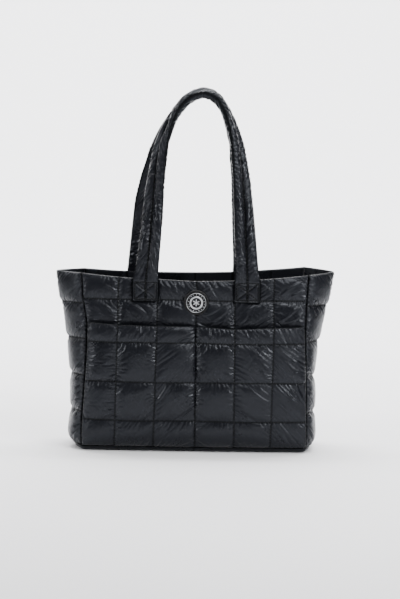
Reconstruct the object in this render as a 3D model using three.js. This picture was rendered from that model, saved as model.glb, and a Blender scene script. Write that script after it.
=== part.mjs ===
// A quilted puffer tote bag: front and back panels, two side gussets, a base, a double front
// pocket, two padded shoulder handles and a round badge. It stands open and empty on its base.
// Millimetres, +Z up, the front towards -Y, the origin in the middle of the flat underside.
import * as THREE from "three";

// Body
const bagHeight = 277; // floor to the rim, at the side seams
const panelWidth = 358; // front or back panel from seam to seam, at the rim
const baseDepth = 124; // front seam to back seam, low down
const rimDepth = 94; // front seam to back seam, at the rim
const wingReach = 37; // how far each gusset's fold stands out past the seams, at the rim
const bellyReach = 9; // how far the front and back bulge past the seams
const rimSag = 7; // dip of the rim in the middle of a panel
const seamHeight = 9; // floor to the seam round the base
const baseCurl = 13; // width of the base's upturned edge
const baseWall = 7; // thickness of the padded base
const wall = 4; // thickness of a panel along its stitching

// Quilting
const quiltPitch = 60.5; // side of a quilted square
const rimRow = 39.5; // rim to the first quilting line
const puffHeight = 7; // rise of a full square above its stitching
const gussetPuff = 6; // the same on the gussets

// Front pocket
const pocketDrop = 78.5; // rim to the pocket's mouth
const pocketHem = 26.5; // mouth to the hem's stitching
const pocketWall = 3; // thickness of the pocket along its stitching
const pocketPuff = 6.5; // rise of its squares
const pocketSlack = 13; // how far the mouth stands open in the middle of a compartment

// Handles
const tabSpacing = 158; // middle to middle of a handle's two sewn ends
const tabDrop = 37; // rim to the bottom of a sewn end
const tabLength = 32; // sewn length of an end
const tabThickness = 4; // thickness of a sewn end
const strapWidth = 40;
const strapThickness = 11;
const handleRise = 290; // top of the sewn ends to the middle of the arch's crown
const crownGap = 2; // between the two handles where they lean together

// Badge
const badgeDiameter = 39;
const badgeThickness = 3;
const badgeRecess = 0.9; // depth of the recess that holds the plate
const badgeBevel = 1.1; // bevel of the disc's edge
const plateDiameter = 33;
const plateThickness = 1.2;
const plateRingDiameter = 19; // the raised ring round the plate's middle
const plateRingWidth = 3;
const plateRelief = 0.8; // how far the ring and the stud are raised
const plateBevel = 0.5; // bevel of the ring and the stud
const studDiameter = 7;
const badgeDrop = 41; // rim to the middle of the badge

// Between sewn pieces
const seamGap = 0.25;
const seatGap = 0.3;

// The body's outline from the base seam (rise 0) to the rim (rise 1). width: share of panelWidth.
// depth: 0 is rimDepth and 1 is baseDepth. wing: share of wingReach. belly: share of bellyReach.
// square: 1 folds the gusset to a point, higher values make it squarer.
const sections = [
  { rise: 0.0, width: 0.976, depth: 0.9, wing: 0.17, belly: 0.35, square: 3.4 },
  { rise: 0.05, width: 0.98, depth: 1.0, wing: 0.34, belly: 0.65, square: 3.4 },
  { rise: 0.13, width: 0.98, depth: 1.0, wing: 0.43, belly: 0.9, square: 3.2 },
  { rise: 0.3, width: 0.97, depth: 0.93, wing: 0.43, belly: 1.0, square: 2.9 },
  { rise: 0.45, width: 0.963, depth: 0.8, wing: 0.46, belly: 1.0, square: 2.5 },
  { rise: 0.6, width: 0.961, depth: 0.62, wing: 0.61, belly: 0.95, square: 2.0 },
  { rise: 0.72, width: 0.965, depth: 0.43, wing: 0.74, belly: 0.9, square: 1.75 },
  { rise: 0.85, width: 0.98, depth: 0.2, wing: 0.87, belly: 0.8, square: 1.5 },
  { rise: 1.0, width: 1.0, depth: 0.0, wing: 1.0, belly: 0.7, square: 1.35 },
];

// One leg of a handle's arch, from its sewn end (rise 0) to the crown (rise 1). spread: share of
// half of tabSpacing. lean: 0 in the plane of the sewn ends, 1 where the handles lean together.
// turn: 0 is flat against the panel, 1 is a quarter turn. fill: 0 is sewn flat, 1 is full.
const handleLeg = [
  { rise: 0.0, spread: 1.0, lean: 0.0, turn: 0.0, fill: 0.0 },
  { rise: 0.06, spread: 0.985, lean: 0.02, turn: 0.06, fill: 0.8 },
  { rise: 0.13, spread: 0.97, lean: 0.06, turn: 0.18, fill: 1.0 },
  { rise: 0.25, spread: 0.935, lean: 0.18, turn: 0.42, fill: 1.0 },
  { rise: 0.4, spread: 0.895, lean: 0.38, turn: 0.64, fill: 1.0 },
  { rise: 0.56, spread: 0.84, lean: 0.6, turn: 0.78, fill: 1.0 },
  { rise: 0.7, spread: 0.76, lean: 0.78, turn: 0.88, fill: 1.0 },
  { rise: 0.82, spread: 0.63, lean: 0.9, turn: 0.95, fill: 1.0 },
  { rise: 0.91, spread: 0.46, lean: 0.97, turn: 1.0, fill: 1.0 },
  { rise: 0.975, spread: 0.25, lean: 1.0, turn: 1.0, fill: 1.0 },
  { rise: 1.0, spread: 0.0, lean: 1.0, turn: 1.0, fill: 1.0 },
];

// Half of a strap's section: two padded channels with a stitched groove between them.
// across: share of half the width. rise: share of half the thickness.
const strapSection = [
  { across: -1.0, rise: 0.2 },
  { across: -0.78, rise: 0.88 },
  { across: -0.4, rise: 1.0 },
  { across: 0.0, rise: 0.34 },
  { across: 0.4, rise: 1.0 },
  { across: 0.78, rise: 0.88 },
  { across: 1.0, rise: 0.2 },
];

const squareSteps = 4; // facets across a quilted square
const edgeSteps = 3; // facets across a narrower row
const curlStations = [0, 0.12, 0.4, 1]; // across the base's curl, as shares of its width
const flatStations = [0.5, 0]; // across the rest of the base, as shares of its half width
const legSteps = 18; // facets along one leg of a handle
const badgeFacets = 32;
const seatLooks = 2 * badgeFacets; // looks at a panel each way across a footprint
const foldThickness = 1.1; // a wall folded round a corner, as a share of its thickness
const pressedEdge = 8; // how far round a sewn end or the badge the squares are pressed flat
const pressedShare = 0.15; // what is left there of their rise

const topLine = bagHeight - rimRow;
const pocketHeight = bagHeight - pocketDrop;

// The value of a table's column at a rise, on straight lines between its rows.
function valueAt(table, column, rise) {
  const above = table.findIndex((row) => row.rise >= rise);
  if (above < 0) return table[table.length - 1][column];
  if (above === 0) return table[0][column];
  const [low, high] = [table[above - 1], table[above]];
  const share = (rise - low.rise) / (high.rise - low.rise);
  return THREE.MathUtils.lerp(low[column], high[column], share);
}

// The rounded profile of a stuffed square: 0 on its two stitched sides, 1 in the middle.
function pillow(share) {
  return Math.sqrt(4 * share * (1 - share));
}

// The body's sizes at a height above the floor.
function sectionAt(height) {
  const rise = (height - seamHeight) / (bagHeight - seamHeight);
  return {
    halfWidth: (valueAt(sections, "width", rise) * panelWidth) / 2,
    halfDepth: THREE.MathUtils.lerp(rimDepth, baseDepth, valueAt(sections, "depth", rise)) / 2,
    wing: valueAt(sections, "wing", rise) * wingReach,
    belly: valueAt(sections, "belly", rise) * bellyReach,
    square: valueAt(sections, "square", rise),
  };
}

// The seam's corner at a depth of inset inside the wall, on the mitre between panel and gusset.
function cornerOf(section, inset) {
  const slope = section.wing * section.square;
  const mitre = section.halfDepth / (Math.hypot(section.halfDepth, slope) + slope);
  return { x: section.halfWidth - inset * mitre, y: section.halfDepth - inset };
}

// A point of the back panel: across runs from -1 to 1 between the seams.
function panelPoint(height, across, inset, gap) {
  const section = sectionAt(height);
  const corner = cornerOf(section, inset);
  const x = across * (corner.x - gap);
  return new THREE.Vector3(x, corner.y + section.belly * (1 - across * across), height);
}

// A point of the right gusset: across runs from -1 at the front seam to 1 at the back seam.
function gussetPoint(height, across, inset, gap) {
  const section = sectionAt(height);
  const corner = cornerOf(section, inset);
  const tip = section.halfWidth + section.wing - inset * foldThickness;
  const fold = 1 - Math.pow(Math.abs(across), section.square);
  return new THREE.Vector3(corner.x + (tip - corner.x) * fold, across * (corner.y - gap), height);
}

// The gusset's outward direction at a point, in plan.
function gussetNormal(height, across) {
  const section = sectionAt(height);
  const bend = Math.pow(Math.abs(across), section.square - 1) * Math.sign(across);
  return new THREE.Vector3(section.halfDepth, section.wing * section.square * bend, 0).normalize();
}

// Stations along a quilted direction: each run between two stitched lines is cut into steps,
// and puff says how far each station has risen towards a full square.
function stationsOf(runs) {
  const first = { at: runs[0].from, puff: 0 };
  return runs.reduce((stations, run) => {
    for (let i = 1; i <= run.steps; i++) {
      const share = i / run.steps;
      stations.push({
        at: THREE.MathUtils.lerp(run.from, run.to, share),
        puff: pillow(share),
      });
    }
    return stations;
  }, [first]);
}

// Runs between neighbouring lines, all with the same number of steps.
function runsBetween(lines, steps) {
  return lines.slice(1).map((line, i) => ({ from: lines[i], to: line, steps }));
}

// Stitched lines every quiltPitch out from the middle of a panel, as shares of its half width.
function panelLines() {
  const half = panelWidth / 2;
  const squares = Math.ceil(half / quiltPitch) - 1;
  const inner = Array.from({ length: 2 * squares + 1 }, (_, i) => ((i - squares) * quiltPitch) / half);
  return [-1, ...inner, 1];
}

// Stitched lines every quiltPitch down from a first line to the base seam, lowest first.
function linesBelow(first) {
  const floor = seamHeight + seamGap;
  const rows = Math.ceil((first - floor) / quiltPitch);
  const lines = Array.from({ length: rows }, (_, i) => first - i * quiltPitch);
  return [floor, ...lines.reverse()];
}

// A closed wall between an outer and an inner grid of points with the same rows and columns.
function wallBetween(outer, inner) {
  const [rows, columns] = [outer.length, outer[0].length];
  const positions = [...outer.flat(), ...inner.flat()].flatMap((p) => [p.x, p.y, p.z]);
  const index = [];
  const quad = (a, b, c, d) => index.push(a, b, c, a, c, d);
  const out = (r, c) => r * columns + c;
  const back = (r, c) => rows * columns + r * columns + c;
  for (let r = 0; r + 1 < rows; r++) {
    for (let c = 0; c + 1 < columns; c++) {
      quad(out(r, c), out(r, c + 1), out(r + 1, c + 1), out(r + 1, c));
      quad(back(r, c), back(r + 1, c), back(r + 1, c + 1), back(r, c + 1));
    }
    quad(out(r, 0), out(r + 1, 0), back(r + 1, 0), back(r, 0));
    quad(out(r, columns - 1), back(r, columns - 1), back(r + 1, columns - 1), out(r + 1, columns - 1));
  }
  for (let c = 0; c + 1 < columns; c++) {
    quad(out(0, c), back(0, c), back(0, c + 1), out(0, c + 1));
    quad(out(rows - 1, c), out(rows - 1, c + 1), back(rows - 1, c + 1), back(rows - 1, c));
  }
  const geometry = new THREE.BufferGeometry();
  geometry.setAttribute("position", new THREE.Float32BufferAttribute(positions, 3));
  geometry.setIndex(index);
  return signedVolume(geometry) < 0 ? turnedOut(geometry) : geometry;
}

// The volume inside a closed surface, negative if its faces point inwards.
function signedVolume(geometry) {
  const at = geometry.getAttribute("position");
  const corner = (i) => new THREE.Vector3().fromBufferAttribute(at, geometry.index.getX(i));
  let volume = 0;
  for (let i = 0; i < geometry.index.count; i += 3) {
    volume += corner(i).dot(corner(i + 1).cross(corner(i + 2))) / 6;
  }
  return volume;
}

// The same surface with each face turned round.
function turnedOut(geometry) {
  const index = geometry.index.array;
  for (let i = 0; i < index.length; i += 3) {
    [index[i + 1], index[i + 2]] = [index[i + 2], index[i + 1]];
  }
  return geometry;
}

// The same surface seen in a mirror across the plane where this axis is 0.
function mirrored(geometry, axis) {
  const scale = new THREE.Vector3(1, 1, 1).setComponent(axis, -1);
  return turnedOut(geometry.clone().scale(scale.x, scale.y, scale.z));
}

const nylon = new THREE.MeshStandardMaterial({ color: 0x1d1f23, roughness: 0.38, metalness: 0 });
const rubber = new THREE.MeshStandardMaterial({ color: 0x0b0b0c, roughness: 0.55, metalness: 0 });
const silver = new THREE.MeshStandardMaterial({ color: 0xc9cacc, roughness: 0.3, metalness: 0.9 });

const bag = new THREE.Group();

function addPiece(name, geometry, material) {
  geometry.computeVertexNormals();
  const mesh = new THREE.Mesh(geometry, material);
  mesh.name = name;
  bag.add(mesh);
  return mesh;
}

// The height of a panel's station: only the row under the rim follows the rim's sag.
function saggedHeight(height, across) {
  const share = Math.max(0, (height - topLine) / rimRow);
  return height - rimSag * (1 - across * across) * share;
}

// A quilted panel in the place of the back one, with the rows given. What is sewn or riveted on
// presses its squares flat.
function panelGeometry(rows, isPressed) {
  const columns = stationsOf(runsBetween(panelLines(), squareSteps));
  const grid = (inset, puff) =>
    rows.map((row) =>
      columns.map((column) => {
        const point = panelPoint(saggedHeight(row.at, column.at), column.at, inset, seamGap);
        point.y += puff * row.puff * column.puff * (isPressed(point) ? pressedShare : 1);
        return point;
      }),
    );
  return wallBetween(grid(0, puffHeight), grid(wall, 0));
}

// Whether a point of a panel lies under a handle's sewn end.
function underTab(point) {
  const beside = Math.abs(Math.abs(point.x) - tabSpacing / 2);
  return beside < strapWidth / 2 + pressedEdge && point.z > bagHeight - tabDrop;
}

// Whether a point of the front panel lies under the badge.
function underBadge(point) {
  const away = Math.hypot(point.x, point.z - (bagHeight - badgeDrop));
  return away < badgeDiameter / 2 + pressedEdge;
}

// The pocket's rows, from the base seam over the hem's stitching to the mouth.
function pocketRows() {
  const hemLine = pocketHeight - pocketHem;
  const hem = { from: hemLine, to: pocketHeight, steps: edgeSteps };
  return stationsOf([...runsBetween(linesBelow(hemLine), edgeSteps), hem]);
}

// Front panel: flat behind the pocket and quilted above it.
function frontPanel() {
  const flat = pocketRows().map((row) => ({ at: row.at, puff: 0 }));
  const quilted = stationsOf([
    { from: pocketHeight, to: topLine, steps: squareSteps },
    { from: topLine, to: bagHeight, steps: edgeSteps },
  ]);
  const rows = [...flat, ...quilted.slice(1)];
  const geometry = panelGeometry(rows, (point) => underTab(point) || underBadge(point));
  return addPiece("front_panel", mirrored(geometry, 1), nylon);
}

// Back panel: quilted all over.
function backPanel() {
  const lines = linesBelow(topLine);
  const rows = stationsOf([
    ...runsBetween(lines, squareSteps),
    { from: topLine, to: bagHeight, steps: edgeSteps },
  ]);
  return addPiece("back_panel", panelGeometry(rows, underTab), nylon);
}

// Side gussets: two quilted columns with the fold on the line between them.
function sideGussets() {
  const rows = stationsOf([
    ...runsBetween(linesBelow(topLine), edgeSteps),
    { from: topLine, to: bagHeight, steps: edgeSteps },
  ]);
  const columns = stationsOf(runsBetween([-1, 0, 1], squareSteps));
  const grid = (inset, puff) =>
    rows.map((row) =>
      columns.map((column) => {
        const point = gussetPoint(row.at, column.at, inset, seamGap);
        const rise = puff * row.puff * column.puff;
        return point.addScaledVector(gussetNormal(row.at, column.at), rise);
      }),
    );
  const right = wallBetween(grid(0, gussetPuff), grid(wall, 0));
  addPiece("gusset_right", right, nylon);
  addPiece("gusset_left", mirrored(right, 0), nylon);
}

// Base: a padded tray, flat underneath, whose edge curls up to the seam.
function basePanel() {
  const stations = (half) => {
    const curl = curlStations.map((share) => 1 - (share * baseCurl) / half);
    const positive = [...curl, ...flatStations];
    return [...positive.map((s) => -s), ...positive.slice(0, -1).reverse()];
  };
  const section = sectionAt(seamHeight);
  const acrossStations = stations(section.halfWidth);
  const depthStations = stations(section.halfDepth);
  const curlAt = (share, half) => {
    const beyond = Math.max(0, 1 - ((1 - Math.abs(share)) * half) / baseCurl);
    return 1 - Math.sqrt(1 - beyond * beyond);
  };
  const grid = (inset, flatHeight) =>
    depthStations.map((depth) =>
      acrossStations.map((across) => {
        const edge = panelPoint(seamHeight, across, inset, 0);
        const side = gussetPoint(seamHeight, depth, inset, 0);
        const corner = cornerOf(section, inset);
        const curl = Math.max(curlAt(across, section.halfWidth), curlAt(depth, section.halfDepth));
        const height = THREE.MathUtils.lerp(flatHeight, seamHeight, curl);
        return new THREE.Vector3((side.x * edge.x) / corner.x, (edge.y * side.y) / corner.y, height);
      }),
    );
  addPiece("base_panel", wallBetween(grid(0, 0), grid(wall, baseWall)), nylon);
}

// Front pocket: one quilted panel, sewn down at the sides, the middle and the base.
function frontPocket() {
  const rows = pocketRows();
  const columns = stationsOf(runsBetween(panelLines(), squareSteps));
  const floor = seamHeight + seamGap;
  const slackAt = (height, across) => {
    const open = Math.sqrt((height - floor) / (pocketHeight - floor));
    return pocketSlack * open * pillow(Math.abs(across));
  };
  const grid = (thickness, puff) =>
    rows.map((row) =>
      columns.map((column) => {
        const point = panelPoint(row.at, column.at, 0, seamGap);
        const slack = slackAt(row.at, column.at);
        point.y += seatGap + slack + thickness + puff * row.puff * column.puff;
        return point;
      }),
    );
  const geometry = wallBetween(grid(pocketWall, pocketPuff), grid(0, 0));
  addPiece("front_pocket", mirrored(geometry, 1), nylon);
}

// The foremost point of a panel under a footprint, met by looking at it from the front.
// pointAt gives the footprint's points for shares from 0 to 1 both ways.
function foremost(panel, pointAt) {
  const looks = Array.from({ length: seatLooks + 1 }, (_, i) => i / seatLooks);
  const ray = new THREE.Raycaster();
  const depths = looks.flatMap((a) =>
    looks.map((b) => {
      const { x, z } = pointAt(a, b);
      ray.set(new THREE.Vector3(x, -panelWidth, z), new THREE.Vector3(0, 1, 0));
      const hit = ray.intersectObject(panel)[0];
      return hit ? hit.point.y : Infinity;
    }),
  );
  return Math.min(...depths);
}

// Stations of the front handle: the sewn ends lie on the panel, and the arch follows the table.
function handleStations(panel) {
  const [half, bottom] = [tabSpacing / 2, bagHeight - tabDrop];
  const [middle, top] = [bottom + tabLength / 2, bottom + tabLength];
  const seatOf = (low, high) => {
    const x = (share) => half + strapWidth * (share - 0.5);
    const z = (share) => THREE.MathUtils.lerp(low, high, share);
    return foremost(panel, (a, b) => ({ x: x(a), z: z(b) })) - seatGap - tabThickness / 2;
  };
  const sewn = [
    { height: bottom, seat: seatOf(bottom, middle) },
    { height: middle, seat: seatOf(bottom, top) },
  ].map((end) => ({ point: new THREE.Vector3(-half, end.seat, end.height), turn: 0, fill: 0 }));
  const seat = seatOf(middle, top);
  const crown = -(strapWidth + crownGap) / 2;
  const leg = handleLeg.map((row) => ({
    point: new THREE.Vector3(
      -half * row.spread,
      THREE.MathUtils.lerp(seat, crown, row.lean),
      top + handleRise * row.rise,
    ),
    turn: row.turn,
    fill: row.fill,
  }));
  const rising = [...sewn, ...leg];
  const falling = rising
    .slice(0, -1)
    .reverse()
    .map((station) => ({ ...station, point: station.point.clone().setX(-station.point.x) }));
  return [...rising, ...falling];
}

// A strap along the stations: it turns from flat at its ends to level at the crown.
function strapGeometry(stations) {
  const curve = new THREE.CatmullRomCurve3(stations.map((s) => s.point), false, "centripetal");
  const last = stations.length - 1;
  const columnAt = (column, t) => {
    const low = Math.min(last - 1, Math.floor(t * last));
    return THREE.MathUtils.lerp(stations[low][column], stations[low + 1][column], t * last - low);
  };
  const grid = (side) =>
    Array.from({ length: 2 * legSteps + 1 }, (_, i) => {
      const t = i / (2 * legSteps);
      const [centre, along] = [curve.getPoint(t), curve.getTangent(t)];
      const back = new THREE.Vector3(0, 1, 0);
      back.addScaledVector(along, -back.dot(along)).normalize();
      const inward = new THREE.Vector3().crossVectors(back, along);
      const angle = (columnAt("turn", t) * Math.PI) / 2;
      const across = inward.multiplyScalar(Math.cos(angle)).addScaledVector(back, -Math.sin(angle));
      const face = new THREE.Vector3().crossVectors(across, along);
      const fill = columnAt("fill", t);
      const thickness = THREE.MathUtils.lerp(tabThickness, strapThickness, fill);
      return strapSection.map((row) =>
        centre
          .clone()
          .addScaledVector(across, (row.across * strapWidth) / 2)
          .addScaledVector(face, (side * THREE.MathUtils.lerp(1, row.rise, fill) * thickness) / 2),
      );
    });
  return wallBetween(grid(1), grid(-1));
}

function handles(panel) {
  const front = strapGeometry(handleStations(panel));
  addPiece("handle_front", front, nylon);
  addPiece("handle_back", mirrored(front, 1), nylon);
}

// Badge: a rubber disc on the front panel and a metal plate with a raised ring and stud.
function badge(panel) {
  const centre = bagHeight - badgeDrop;
  const radius = badgeDiameter / 2;
  const onDisc = (a, b) => ({
    x: radius * a * Math.cos(b * 2 * Math.PI),
    z: centre + radius * a * Math.sin(b * 2 * Math.PI),
  });
  const seat = foremost(panel, onDisc) - seatGap;
  const turned = (profile) => {
    const geometry = new THREE.LatheGeometry(profile.map(([r, h]) => new THREE.Vector2(r, h)), badgeFacets);
    return geometry.rotateX(Math.PI);
  };
  const [plateRadius, ring, stud] = [plateDiameter / 2, plateRingDiameter / 2, studDiameter / 2];
  const [recess, floor] = [plateRadius + seatGap, badgeThickness - badgeRecess];
  const disc = turned([
    [0, 0],
    [radius, 0],
    [radius, badgeThickness - badgeBevel],
    [radius - badgeBevel, badgeThickness],
    [recess, badgeThickness],
    [recess, floor],
    [0, floor],
  ]);
  disc.translate(0, seat, centre);
  addPiece("badge_disc", disc, rubber);

  const [face, raised] = [plateThickness, plateThickness + plateRelief];
  const plate = turned([
    [0, 0],
    [plateRadius, 0],
    [plateRadius, face],
    [ring, face],
    [ring - plateBevel, raised],
    [ring - plateRingWidth + plateBevel, raised],
    [ring - plateRingWidth, face],
    [stud, face],
    [stud - plateBevel, raised],
    [0, raised],
  ]);
  plate.translate(0, seat - floor - seatGap, centre);
  addPiece("badge_plate", plate, silver);
}

const front = frontPanel();
backPanel();
sideGussets();
basePanel();
frontPocket();
handles(front);
badge(front);

export default bag;
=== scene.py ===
import math
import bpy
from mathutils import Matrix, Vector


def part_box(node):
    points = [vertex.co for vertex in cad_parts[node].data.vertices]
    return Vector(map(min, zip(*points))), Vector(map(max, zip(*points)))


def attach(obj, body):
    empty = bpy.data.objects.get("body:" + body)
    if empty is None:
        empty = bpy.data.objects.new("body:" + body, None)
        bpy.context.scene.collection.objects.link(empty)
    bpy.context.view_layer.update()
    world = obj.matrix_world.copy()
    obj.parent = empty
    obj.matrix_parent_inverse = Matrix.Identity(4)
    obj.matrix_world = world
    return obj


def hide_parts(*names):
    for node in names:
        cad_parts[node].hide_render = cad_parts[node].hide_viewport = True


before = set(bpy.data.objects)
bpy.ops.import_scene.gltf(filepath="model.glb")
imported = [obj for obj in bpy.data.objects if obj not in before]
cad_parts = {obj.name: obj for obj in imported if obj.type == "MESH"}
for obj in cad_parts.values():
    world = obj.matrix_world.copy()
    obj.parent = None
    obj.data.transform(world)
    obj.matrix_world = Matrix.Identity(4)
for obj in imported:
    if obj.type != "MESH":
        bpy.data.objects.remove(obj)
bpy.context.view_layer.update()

from types import SimpleNamespace

import bpy
import numpy as np
from mathutils import Quaternion, Vector

bl_info = {
    "name": "Puffer tote bag",
    "version": (1, 0, 0),
    "blender": (4, 5, 0),
    "location": "3D View > Sidebar > Puffer tote",
    "description": "Quilted cloth, padded handles, stitching, badge and stage of a puffer tote bag",
    "category": "Object",
}

MM = 0.001

# How many times as close the final cloth's points lie as the simulated one's.
REFINED = 2

# The body's outline from the base seam (rise 0) to the rim (rise 1), as shares of the sizes below.
# tuck_left and tuck_right are the millimetres by which a side seam is pulled in.
SECTIONS = {
    "rise": (0.0, 0.05, 0.13, 0.3, 0.45, 0.6, 0.72, 0.85, 1.0),
    "width": (0.976, 0.98, 0.98, 0.97, 0.963, 0.961, 0.965, 0.98, 1.0),
    "depth": (0.9, 1.0, 1.0, 0.93, 0.8, 0.62, 0.43, 0.2, 0.0),
    "wing_left": (0.39, 0.47, 0.44, 0.485, 0.6, 0.77, 0.86, 0.95, 1.07),
    "wing_right": (0.28, 0.33, 0.32, 0.34, 0.34, 0.54, 0.7, 0.93, 1.11),
    "tuck_left": (0.0, 0.0, 0.0, 0.8, 1.6, 2.8, 2.5, -0.5, 0.0),
    "tuck_right": (0.0, 0.0, 0.0, -0.4, -0.9, 0.3, 1.5, 3.0, 4.0),
    "belly": (0.35, 0.65, 0.9, 1.0, 1.0, 0.95, 0.9, 0.8, 0.7),
    "square": (3.4, 3.4, 3.2, 2.9, 2.5, 2.0, 1.75, 1.5, 1.35),
}

# One leg of a handle's arch, from its sewn end (rise 0) to the crown (rise 1). spread is its
# distance from the bag's middle and lean its way from its own panel to the crown's depth, both as
# shares, turn its quarter turns and fill the fullness of its padding. sway is how far the arch
# leans to the right, and stray and stray_right how far the back handle's left and right legs
# stand further left, in millimetres.
HANDLE_LEG = {
    "rise": (0.0, 0.06, 0.13, 0.25, 0.4, 0.56, 0.7, 0.82, 0.91, 0.975, 1.0),
    "spread": (1.0, 0.982, 0.96, 0.925, 0.885, 0.835, 0.76, 0.63, 0.46, 0.25, 0.0),
    "lean": (0.0, 0.02, 0.06, 0.18, 0.38, 0.6, 0.78, 0.9, 0.97, 1.0, 1.0),
    "turn": (0.0, 0.05, 0.13, 0.24, 0.36, 0.5, 0.64, 0.82, 0.97, 1.0, 1.0),
    "fill": (0.0, 0.8, 1.0, 1.0, 1.0, 1.0, 1.0, 1.0, 1.08, 1.25, 1.35),
    "sway": (0.0, 0.4, 0.8, 1.1, 1.2, 1.1, 1.4, 2.2, 3.4, 5.4, 7.0),
    "stray": (11.5, 13.5, 14.3, 14.7, 15.0, 10.5, 5.0, 1.2, -1.5, -2.5, -2.5),
    "stray_right": (0.0, 0.0, 0.0, 0.0, 0.0, 0.0, 0.0, -0.5, -1.5, -2.5, -2.5),
}

# How far each upright quilting line of the pocket has strayed sideways at the base, left to right.
POCKET_DRIFT = np.array([-3.5, -3.5, 1.0, 1.6, -2.7]) * MM

# Rise of a rim over its even height, and of the pocket's mouth, in millimetres, at seven even
# places from the left seam to the right one.
FRONT_RIM = (0.5, -0.5, 0.0, -1.5, -0.5, 0.5, 2.0)
BACK_RIM = (0.0, 1.0, 2.5, 3.6, 4.5, 6.5, 7.5)
POCKET_MOUTH = (4.1, 1.3, 0.7, 0.6, -2.5, -0.4, 1.0)

# Drag folds of the front above the pocket: column from the left seam, row from the pocket's
# mouth, start and end as shares of the cell, and height and width in millimetres.
UPPER_FOLDS = (
    (0, 0, (0.45, 0.90), (0.92, 0.45), 0.79, 1.7),
    (0, 0, (0.20, 0.75), (0.60, 0.40), 0.58, 1.7),
    (1, 0, (0.20, 0.92), (0.78, 0.40), 1.08, 1.8),
    (1, 0, (0.45, 0.95), (0.92, 0.60), 0.79, 1.6),
    (1, 0, (0.08, 0.66), (0.48, 0.26), 0.65, 1.7),
    (2, 0, (0.20, 0.85), (0.66, 0.60), 0.58, 1.8),
    (3, 0, (0.97, 0.93), (0.28, 0.20), 1.15, 1.8),
    (3, 0, (0.97, 0.72), (0.52, 0.16), 1.01, 1.6),
    (3, 0, (0.80, 0.96), (0.16, 0.48), 0.79, 1.6),
    (3, 0, (0.98, 0.50), (0.74, 0.14), 0.79, 1.4),
    (4, 0, (0.36, 0.62), (0.08, 0.18), 0.94, 1.8),
    (4, 0, (0.55, 0.90), (0.22, 0.60), 0.65, 1.6),
    (4, 0, (0.66, 0.94), (0.95, 0.52), 0.86, 1.5),
    (5, 0, (0.80, 0.92), (0.12, 0.26), 0.94, 1.7),
    (5, 0, (0.96, 0.70), (0.40, 0.22), 0.72, 1.6),
    (0, 1, (0.60, 0.55), (0.95, 0.30), 0.58, 1.6),
    (3, 1, (0.10, 0.40), (0.45, 0.80), 0.65, 1.7),
    (3, 1, (0.05, 0.15), (0.60, 0.66), 0.58, 1.6),
    (5, 1, (0.15, 0.12), (0.80, 0.72), 0.94, 1.8),
    (5, 1, (0.40, 0.08), (0.95, 0.42), 0.72, 1.6),
    (4, 1, (0.62, 0.80), (0.92, 0.45), 0.58, 1.6),
)


def length(name, millimetres, description):
    """A size in millimetres as a Blender length property."""
    return bpy.props.FloatProperty(
        name=name, description=description, default=millimetres * MM, unit="LENGTH", precision=4
    )


def colour(name, code, description):
    """A colour property from an sRGB hex code."""
    return bpy.props.FloatVectorProperty(
        name=name, description=description, subtype="COLOR", size=4,
        default=linear_colour(code), min=0.0, max=1.0,
    )


def linear_colour(code):
    """The linear colour of an sRGB hex code: each channel over 255, then the sRGB curve undone."""
    channels = [int(code[i:i + 2], 16) / 255 for i in (1, 3, 5)]
    return (*[c / 12.92 if c <= 0.04045 else ((c + 0.055) / 1.055) ** 2.4 for c in channels], 1.0)


class BodySizes(bpy.types.PropertyGroup):
    """Sizes of the bag's body."""
    bag_height: length("Bag height", 277, "Floor to the rim at the side seams")
    panel_width: length("Panel width", 358, "Front panel from seam to seam, at the rim")
    base_depth: length("Base depth", 124, "Front seam to back seam, low down")
    rim_depth: length("Rim depth", 94, "Front seam to back seam, at the rim")
    wing_reach: length("Wing reach", 39, "How far a gusset's fold stands past the seams")
    belly_reach: length("Belly reach", 9, "How far front and back bulge past the seams")
    rim_sag: length("Rim sag", 8, "Dip of the rim in the middle of a panel")
    seam_height: length("Seam height", 9, "Floor to the seam round the base")
    base_curl: length("Base curl", 13, "Width of the base's upturned edge")
    base_wall: length("Base wall", 7, "Thickness of the padded base")
    wall: length("Wall", 4, "Thickness of a panel along its stitching")
    seam_gap: length("Seam gap", 0.25, "Gap on each side of a seam")


class QuiltSizes(bpy.types.PropertyGroup):
    """Sizes of the quilting and its wrinkles."""
    pitch: length("Pitch", 60.5, "Side of a quilted square")
    rim_row: length("Rim row", 39.5, "Rim to the first quilting line")
    panel_puff: length("Panel puff", 7, "Rise of a full square")
    gusset_puff: length("Gusset puff", 6, "Rise of a full square on the gussets")
    pocket_puff: length("Pocket puff", 6.5, "Rise of a full square on the pocket")
    gusset_pitch: length("Gusset pitch", 56, "Side of a quilted square on the gussets")
    gusset_shift: length("Gusset shift", 7, "How much lower the gussets' lines start")
    facing: length("Facing", 16, "Depth of the outer cloth turned in at the rim")
    crumple: length("Crumple", 0.5, "Height of the faint creases across a square")
    stitch: length("Stitch", 3.1, "Length of a stitch")
    thread: length("Thread", 0.9, "Thickness of the thread, drawn coarse enough to show")
    sim_step: length("Simulation step", 2.1, "Spacing of the simulated cloth, which is then halved")
    bending: bpy.props.FloatProperty(
        name="Bending", default=0.05, description="The solver's bending stiffness of the cloth"
    )
    pressure: bpy.props.FloatProperty(
        name="Pressure", default=9.0, description="The solver's pressure of the wadding"
    )


class PocketSizes(bpy.types.PropertyGroup):
    """Sizes of the front pocket."""
    drop: length("Drop", 78.5, "Rim to the pocket's mouth")
    hem: length("Hem", 26.5, "Mouth to the hem's stitching")
    wall: length("Wall", 3, "Thickness of the pocket along its stitching")
    slack: length("Slack", 13, "How far the mouth stands open")
    gap: length("Gap", 0.3, "Gap to the panel behind")
    inset: length("Inset", 1.8, "How far inside the side seams the mouth's ends are sewn")


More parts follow.
